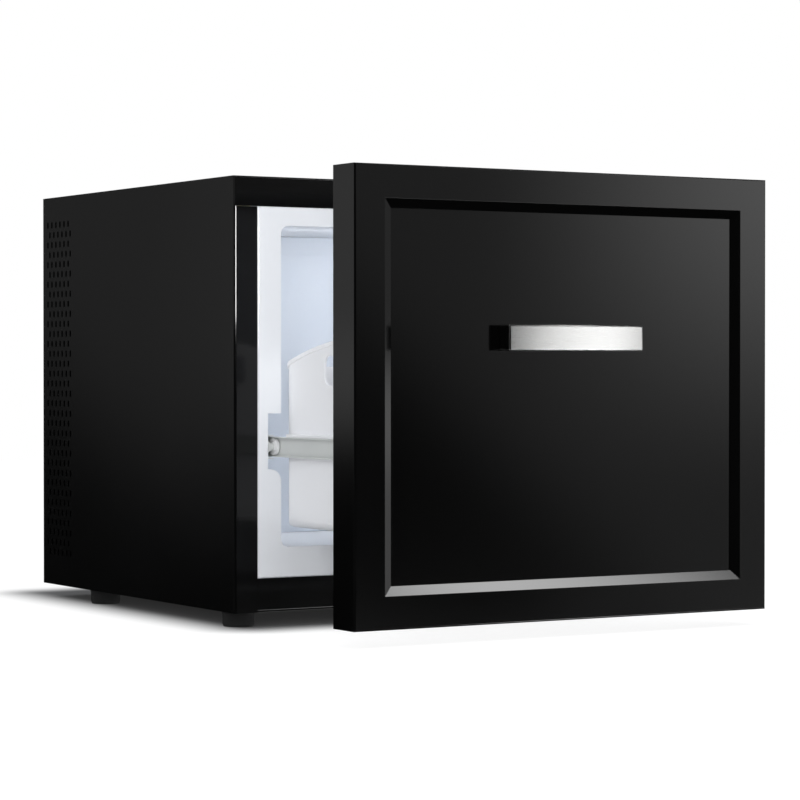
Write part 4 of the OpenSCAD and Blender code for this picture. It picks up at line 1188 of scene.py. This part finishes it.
@dataclass
class Studio:
    """The floor, the surroundings, the camera and the lamps, in metres and degrees."""

    floor_size: float = 9.0
    floor_z: float = -0.0005
    # The floor's glow, which paints the cabinet's shadow: what the open floor adds, and what is left in
    # the painted shadow under the cabinet
    glow_outside_painted_shadow: float = 0.88
    glow_in_painted_shadow: float = 0.018
    # The rectangle of the painted shadow under the cabinet; the last number keeps the floor's own
    # height out of it
    painted_shadow_at: Triple = (0.0, 0.148, 0.0)
    painted_shadow_half: Triple = (0.214, 0.247, 1.0)
    painted_shadow_soft: float = 0.088
    camera_at: Triple = (-1.5302, -2.5638, 0.2629)
    camera_turn: float = 31.115
    camera_dip: float = 0.728
    # Millimetres, on a sensor that is 36 wide
    lens: float = 125.41
    sky_light: float = 0.5
    # The room's walls: where they start and stop growing lighter, and from what to what
    wall_rise: tuple[float, float] = (-4, 40)
    wall_light: tuple[float, float] = (0.01, 0.06)
    # Turn, rise, half_wide, half_high, soft and strength
    glows: tuple[Glow, ...] = (
        Glow(53.2, 0, 20, 9, 3.6, 0.26, slant=1),
        Glow(41.5, 6, 2, 2, 7, 1.6),
        Glow(36.7, -15, 5.6, 4, 5, 6.9),
        Glow(44.2, 38, 0.6, 4, 6.2, 9.8),
        Glow(90.0, 0, 12, 7, 20, 0.22),
        Glow(90.0, -3.2, 12, 2.6, 1.2, 0.4),
        Glow(90.0, -1.2, 12, 0.3, 1.3, 0.4),
        Glow(-138, 0, 17, 9, 2.4, 0.13, slant=1),
        Glow(-149.0, 3, 0.6, 1, 5, 0.2),
        Glow(-149.5, -0.3, 0.6, 0.2, 1.4, 0.22),
        Glow(-149.5, -6.4, 1.2, 3.6, 1.8, -0.3),
        Glow(-60, 55, 20, 12, 20, 0.6),
        Glow(-110, -30, 88, 12, 8, 0.35),
        Glow(130, -30, 60, 12, 8, 0.35),
    )
    # Name, place, aim, width and height, and watts
    lamps: tuple[Lamp, ...] = (
        Lamp("overhead_softbox", (0.2, -1.0, 2.0), (0.0, 0.0, 0.2), (1.8, 1.4), 20),
        Lamp("left_softbox", (-1.9, -1.6, 0.9), (0.0, -0.1, 0.25), (1.2, 1.4), 12),
        Lamp("gap_light", (-1.45, -2.2, 0.5), (-0.1, 0.0, 0.25), (0.5, 0.5), 11),
        Lamp("cavity_lamp", (0.0, -0.07, 0.395), (0.0, 0.09, 0.2), (0.34, 0.03), 0.34),
        Lamp("fold_card", (-0.32, -0.3, 0.375), (-0.32, 0.0, 0.375), (0.15, 0.13), 2.8, card=True),
    )

    def build(self) -> None:
        """Builds the whole studio."""
        self.build_floor()
        self.build_world()
        self.build_camera()
        for lamp in self.lamps:
            lamp.build()
        bpy.context.scene.view_settings.view_transform = "Standard"

    def build_floor(self) -> None:
        """Lays a white floor that shows white to the eye, with the lamps' real shadow of the object and
        a painted shadow under the cabinet.
        """
        plane = add_primitive("plane", size=self.floor_size, location=(0, 0, self.floor_z))
        floor = settle(plane, "studio_floor")
        material = bpy.data.materials.new("matt_white_paper_painted_shadow")
        tree = bare_tree(material)
        paper = add_node(tree, "BsdfDiffuse", {"Color": linear("F4F4F4")})
        # The floor as it is seen is a dim grey paper, which shows the lamps' real shadows, plus a glow
        # that fades out under the cabinet: a painted shadow
        shaded = add_node(tree, "BsdfDiffuse", {"Color": linear("8A8A8A")})
        lights = {0: self.outside_painted_shadow(tree), 1: self.glow_outside_painted_shadow, 2: self.glow_in_painted_shadow}
        level = add_node(tree, "Math", lights, operation="MULTIPLY_ADD")
        lift = add_node(tree, "Emission", {"Strength": level.outputs[0]})
        seen = self.seen_rays(tree, add_node(tree, "LightPath"))
        both_lights = {0: shaded.outputs["BSDF"], 1: lift.outputs["Emission"]}
        shown = add_node(tree, "AddShader", both_lights).outputs["Shader"]
        mix = add_node(tree, "MixShader", {0: seen, 1: paper.outputs["BSDF"], 2: shown})
        add_node(tree, "OutputMaterial", {"Surface": mix.outputs["Shader"]})
        floor.data.materials.append(material)
        floor.visible_glossy = False

    def outside_painted_shadow(self, tree: Tree) -> Socket:
        """Measures how far a point of the floor lies from the rectangle of the painted shadow under the
        cabinet.

        Args:
            tree: The floor's tree.

        Returns:
            A socket that is 0 in the painted shadow under the cabinet and 1 where the floor is open.
        """
        zero = (0, 0, 0)
        point = add_node(tree, "TexCoord").outputs["Object"]
        for operation, other in (
            ("SUBTRACT", self.painted_shadow_at),
            ("ABSOLUTE", zero),
            ("SUBTRACT", self.painted_shadow_half),
            ("MAXIMUM", zero),
        ):
            point = add_node(tree, "VectorMath", {0: point, 1: other}, operation=operation).outputs[0]
        away = add_node(tree, "VectorMath", {0: point}, operation="LENGTH").outputs["Value"]
        # Nought under the cabinet, rising to one across the soft edge: this paints the cabinet's shadow
        # on the floor
        fade = {"Value": away, "From Max": self.painted_shadow_soft}
        level = add_node(tree, "MapRange", fade, interpolation_type="SMOOTHSTEP")
        return level.outputs["Result"]

    @staticmethod
    def seen_rays(tree: Tree, path: Node) -> Socket:
        """Adds up the rays by which a surface is seen: straight, in a mirror and through glass.

        Args:
            tree: The material's tree.
            path: The Light Path node.

        Returns:
            A socket that is 1 for those rays and 0 for the others.
        """
        seen = path.outputs["Is Camera Ray"]
        for kind in ("Is Glossy Ray", "Is Transmission Ray"):
            rays = {0: seen, 1: path.outputs[kind]}
            seen = add_node(tree, "Math", rays, operation="MAXIMUM").outputs[0]
        return seen

    def build_world(self) -> None:
        """Sets soft even light all round, a white background and a dim room for reflections."""
        world = bpy.data.worlds.new("studio_room")
        bpy.context.scene.world = world
        tree = bare_tree(world)
        path = add_node(tree, "LightPath")
        views = {"Factor": path.outputs["Is Glossy Ray"], 6: (1, 1, 1, 1), 7: self.room(tree)}
        view = add_node(tree, "Mix", views, data_type="RGBA")
        seen = add_node(tree, "Background", {"Color": view.outputs[2]})
        sky = add_node(tree, "Background", {"Color": linear("F6F8FC"), "Strength": self.sky_light})
        rays = self.seen_rays(tree, path)
        lights = {0: rays, 1: sky.outputs["Background"], 2: seen.outputs["Background"]}
        mix = add_node(tree, "MixShader", lights)
        add_node(tree, "OutputWorld", {"Surface": mix.outputs["Shader"]})

    def room(self, tree: Tree) -> Socket:
        """Draws the dim room with its light patches, by direction.

        Args:
            tree: The world's tree.

        Returns:
            The socket of the room's brightness.
        """
        coords = add_node(tree, "TexCoord").outputs["Generated"]
        axes = add_node(tree, "SeparateXYZ", {"Vector": coords}).outputs
        ahead = add_node(tree, "Math", {0: axes["Y"], 1: -1.0}, operation="MULTIPLY").outputs[0]
        turn = add_node(tree, "Math", {0: axes["X"], 1: ahead}, operation="ARCTAN2").outputs[0]
        rise = add_node(tree, "Math", {0: axes["Z"]}, operation="ARCSINE").outputs[0]
        start, end = self.wall_rise
        dark, light = self.wall_light
        fade = {
            "Value": rise,
            "From Min": math.radians(start),
            "From Max": math.radians(end),
            "To Min": dark,
            "To Max": light,
        }
        walls = add_node(tree, "MapRange", fade, interpolation_type="SMOOTHSTEP")
        total = walls.outputs["Result"]
        for glow in self.glows:
            total = glow.add(tree, turn, rise, total)
        return add_node(tree, "Math", {0: total, 1: 0.0}, operation="MAXIMUM").outputs[0]

    def build_camera(self) -> None:
        """Puts up the camera, nearly level, a little above the middle of the cabinet's height."""
        data = bpy.data.cameras.new("camera")
        data.sensor_fit = "HORIZONTAL"
        data.lens = self.lens
        camera = bpy.data.objects.new("camera", data)
        camera.location = self.camera_at
        dip = math.radians(90 - self.camera_dip)
        camera.rotation_euler = (dip, 0, math.radians(-self.camera_turn))
        bpy.context.scene.collection.objects.link(camera)
        bpy.context.scene.camera = camera


# ---- The pieces, in the order in which they are built ----


def grid(way: Vector, xs: Sequence[float], ys: Sequence[float], zs: Sequence[float]) -> Places:
    """Lists a screw's places at every crossing of three rows of numbers.

    Args:
        way: The way in which the heads point.
        xs: The row along X, in millimetres.
        ys: The row along Y.
        zs: The row along Z.

    Returns:
        Pairs of a place, in metres, and the way.
    """
    return tuple((spot(x, y, z), way) for x in xs for y in ys for z in zs)


# How far the easing runs, in millimetres, and the nodes that get it
EASINGS: tuple[tuple[float, tuple[str, ...]], ...] = (
    (0.3, ("inner_liner",)),
    (0.6, ("drawer_liner",)),
    (0.4, ("evaporator_cover",)),
    (0.5, ("bin",)),
    (0.2, both("slide_outer", "slide_inner")),
    (0.3, ("slide_brackets",)),
    (0.6, both("foot_front", "foot_rear")),
    (0.4, ("lamp_lens", "mains_inlet")),
    (0.3, ("inlet_pins",)),
)

FANS: tuple[Fan, ...] = (
    Fan("cold_fan_rotor", size=80, deep=15, near_y=CABINET_Y + 209.2),
    Fan("hot_fan_rotor", size=92, deep=25, near_y=CABINET_Y + 361.8),
)

# The outer face of the back panel, of the duct cover and of the hot fan's frame
BACK_Y = CABINET_Y + 467.6
COVER_Y = CABINET_Y + 207
FAN_BACK_Y = CABINET_Y + 386.8

SCREWS: tuple[ScrewSet, ...] = (
    ScrewSet(
        "case_screws", radius=3.8, height=2.2, shank=2, length=9.5,
        places=grid(BACKWARDS, (-233, 233), (BACK_Y,), (55, 233, 411))
        + grid(BACKWARDS, (0,), (BACK_Y,), (23, 443))
        + grid(DOWN, (-222, 222), (CABINET_Y + 27, CABINET_Y + 340), (7.5,)),
    ),
    ScrewSet(
        "cover_screws", radius=2.8, height=1.6, shank=1.5, length=52,
        places=grid(FORWARDS, (-172, 172), (COVER_Y,), (96, 386)),
    ),
    ScrewSet(
        "fan_screws", radius=2.8, height=1.6, shank=1.5, length=17,
        places=grid(FORWARDS, (-35.75, 35.75), (COVER_Y,), (164.25, 235.75))
        + grid(BACKWARDS, (-41.25, 41.25), (FAN_BACK_Y,), (158.75, 241.25)),
    ),
    ScrewSet(
        "bracket_screws", radius=3.5, height=1.6, shank=2, length=12,
        places=grid(BACKWARDS, (-172, 172), (DRAWER_Y + 1.5,), (171.5, 189.5)),
        shorter=ScrewSet(
            "bracket_screws", radius=3.4, height=1, shank=2, length=2.7,
            places=grid(RIGHT, (-187.5,), (DRAWER_Y + 14, DRAWER_Y + 34), (180.5,))
            + grid(LEFT, (187.5,), (DRAWER_Y + 14, DRAWER_Y + 34), (180.5,)),
        ),
    ),
)


def main() -> None:
    """Builds the studio and dresses the minibar, piece by piece."""
    logging.basicConfig(level=logging.INFO, format="%(name)s: %(message)s")
    Studio().build()
    dress_nodes()
    for width, nodes in EASINGS:
        for node in nodes:
            eased(node, width)
    eased("front_frame", 0.06, segments=3, angle=24)
    for assembly in (Handle(), Gasket(), Dial(), *FANS, *SCREWS):
        assembly.build()


if __name__ == "__main__":
    main()
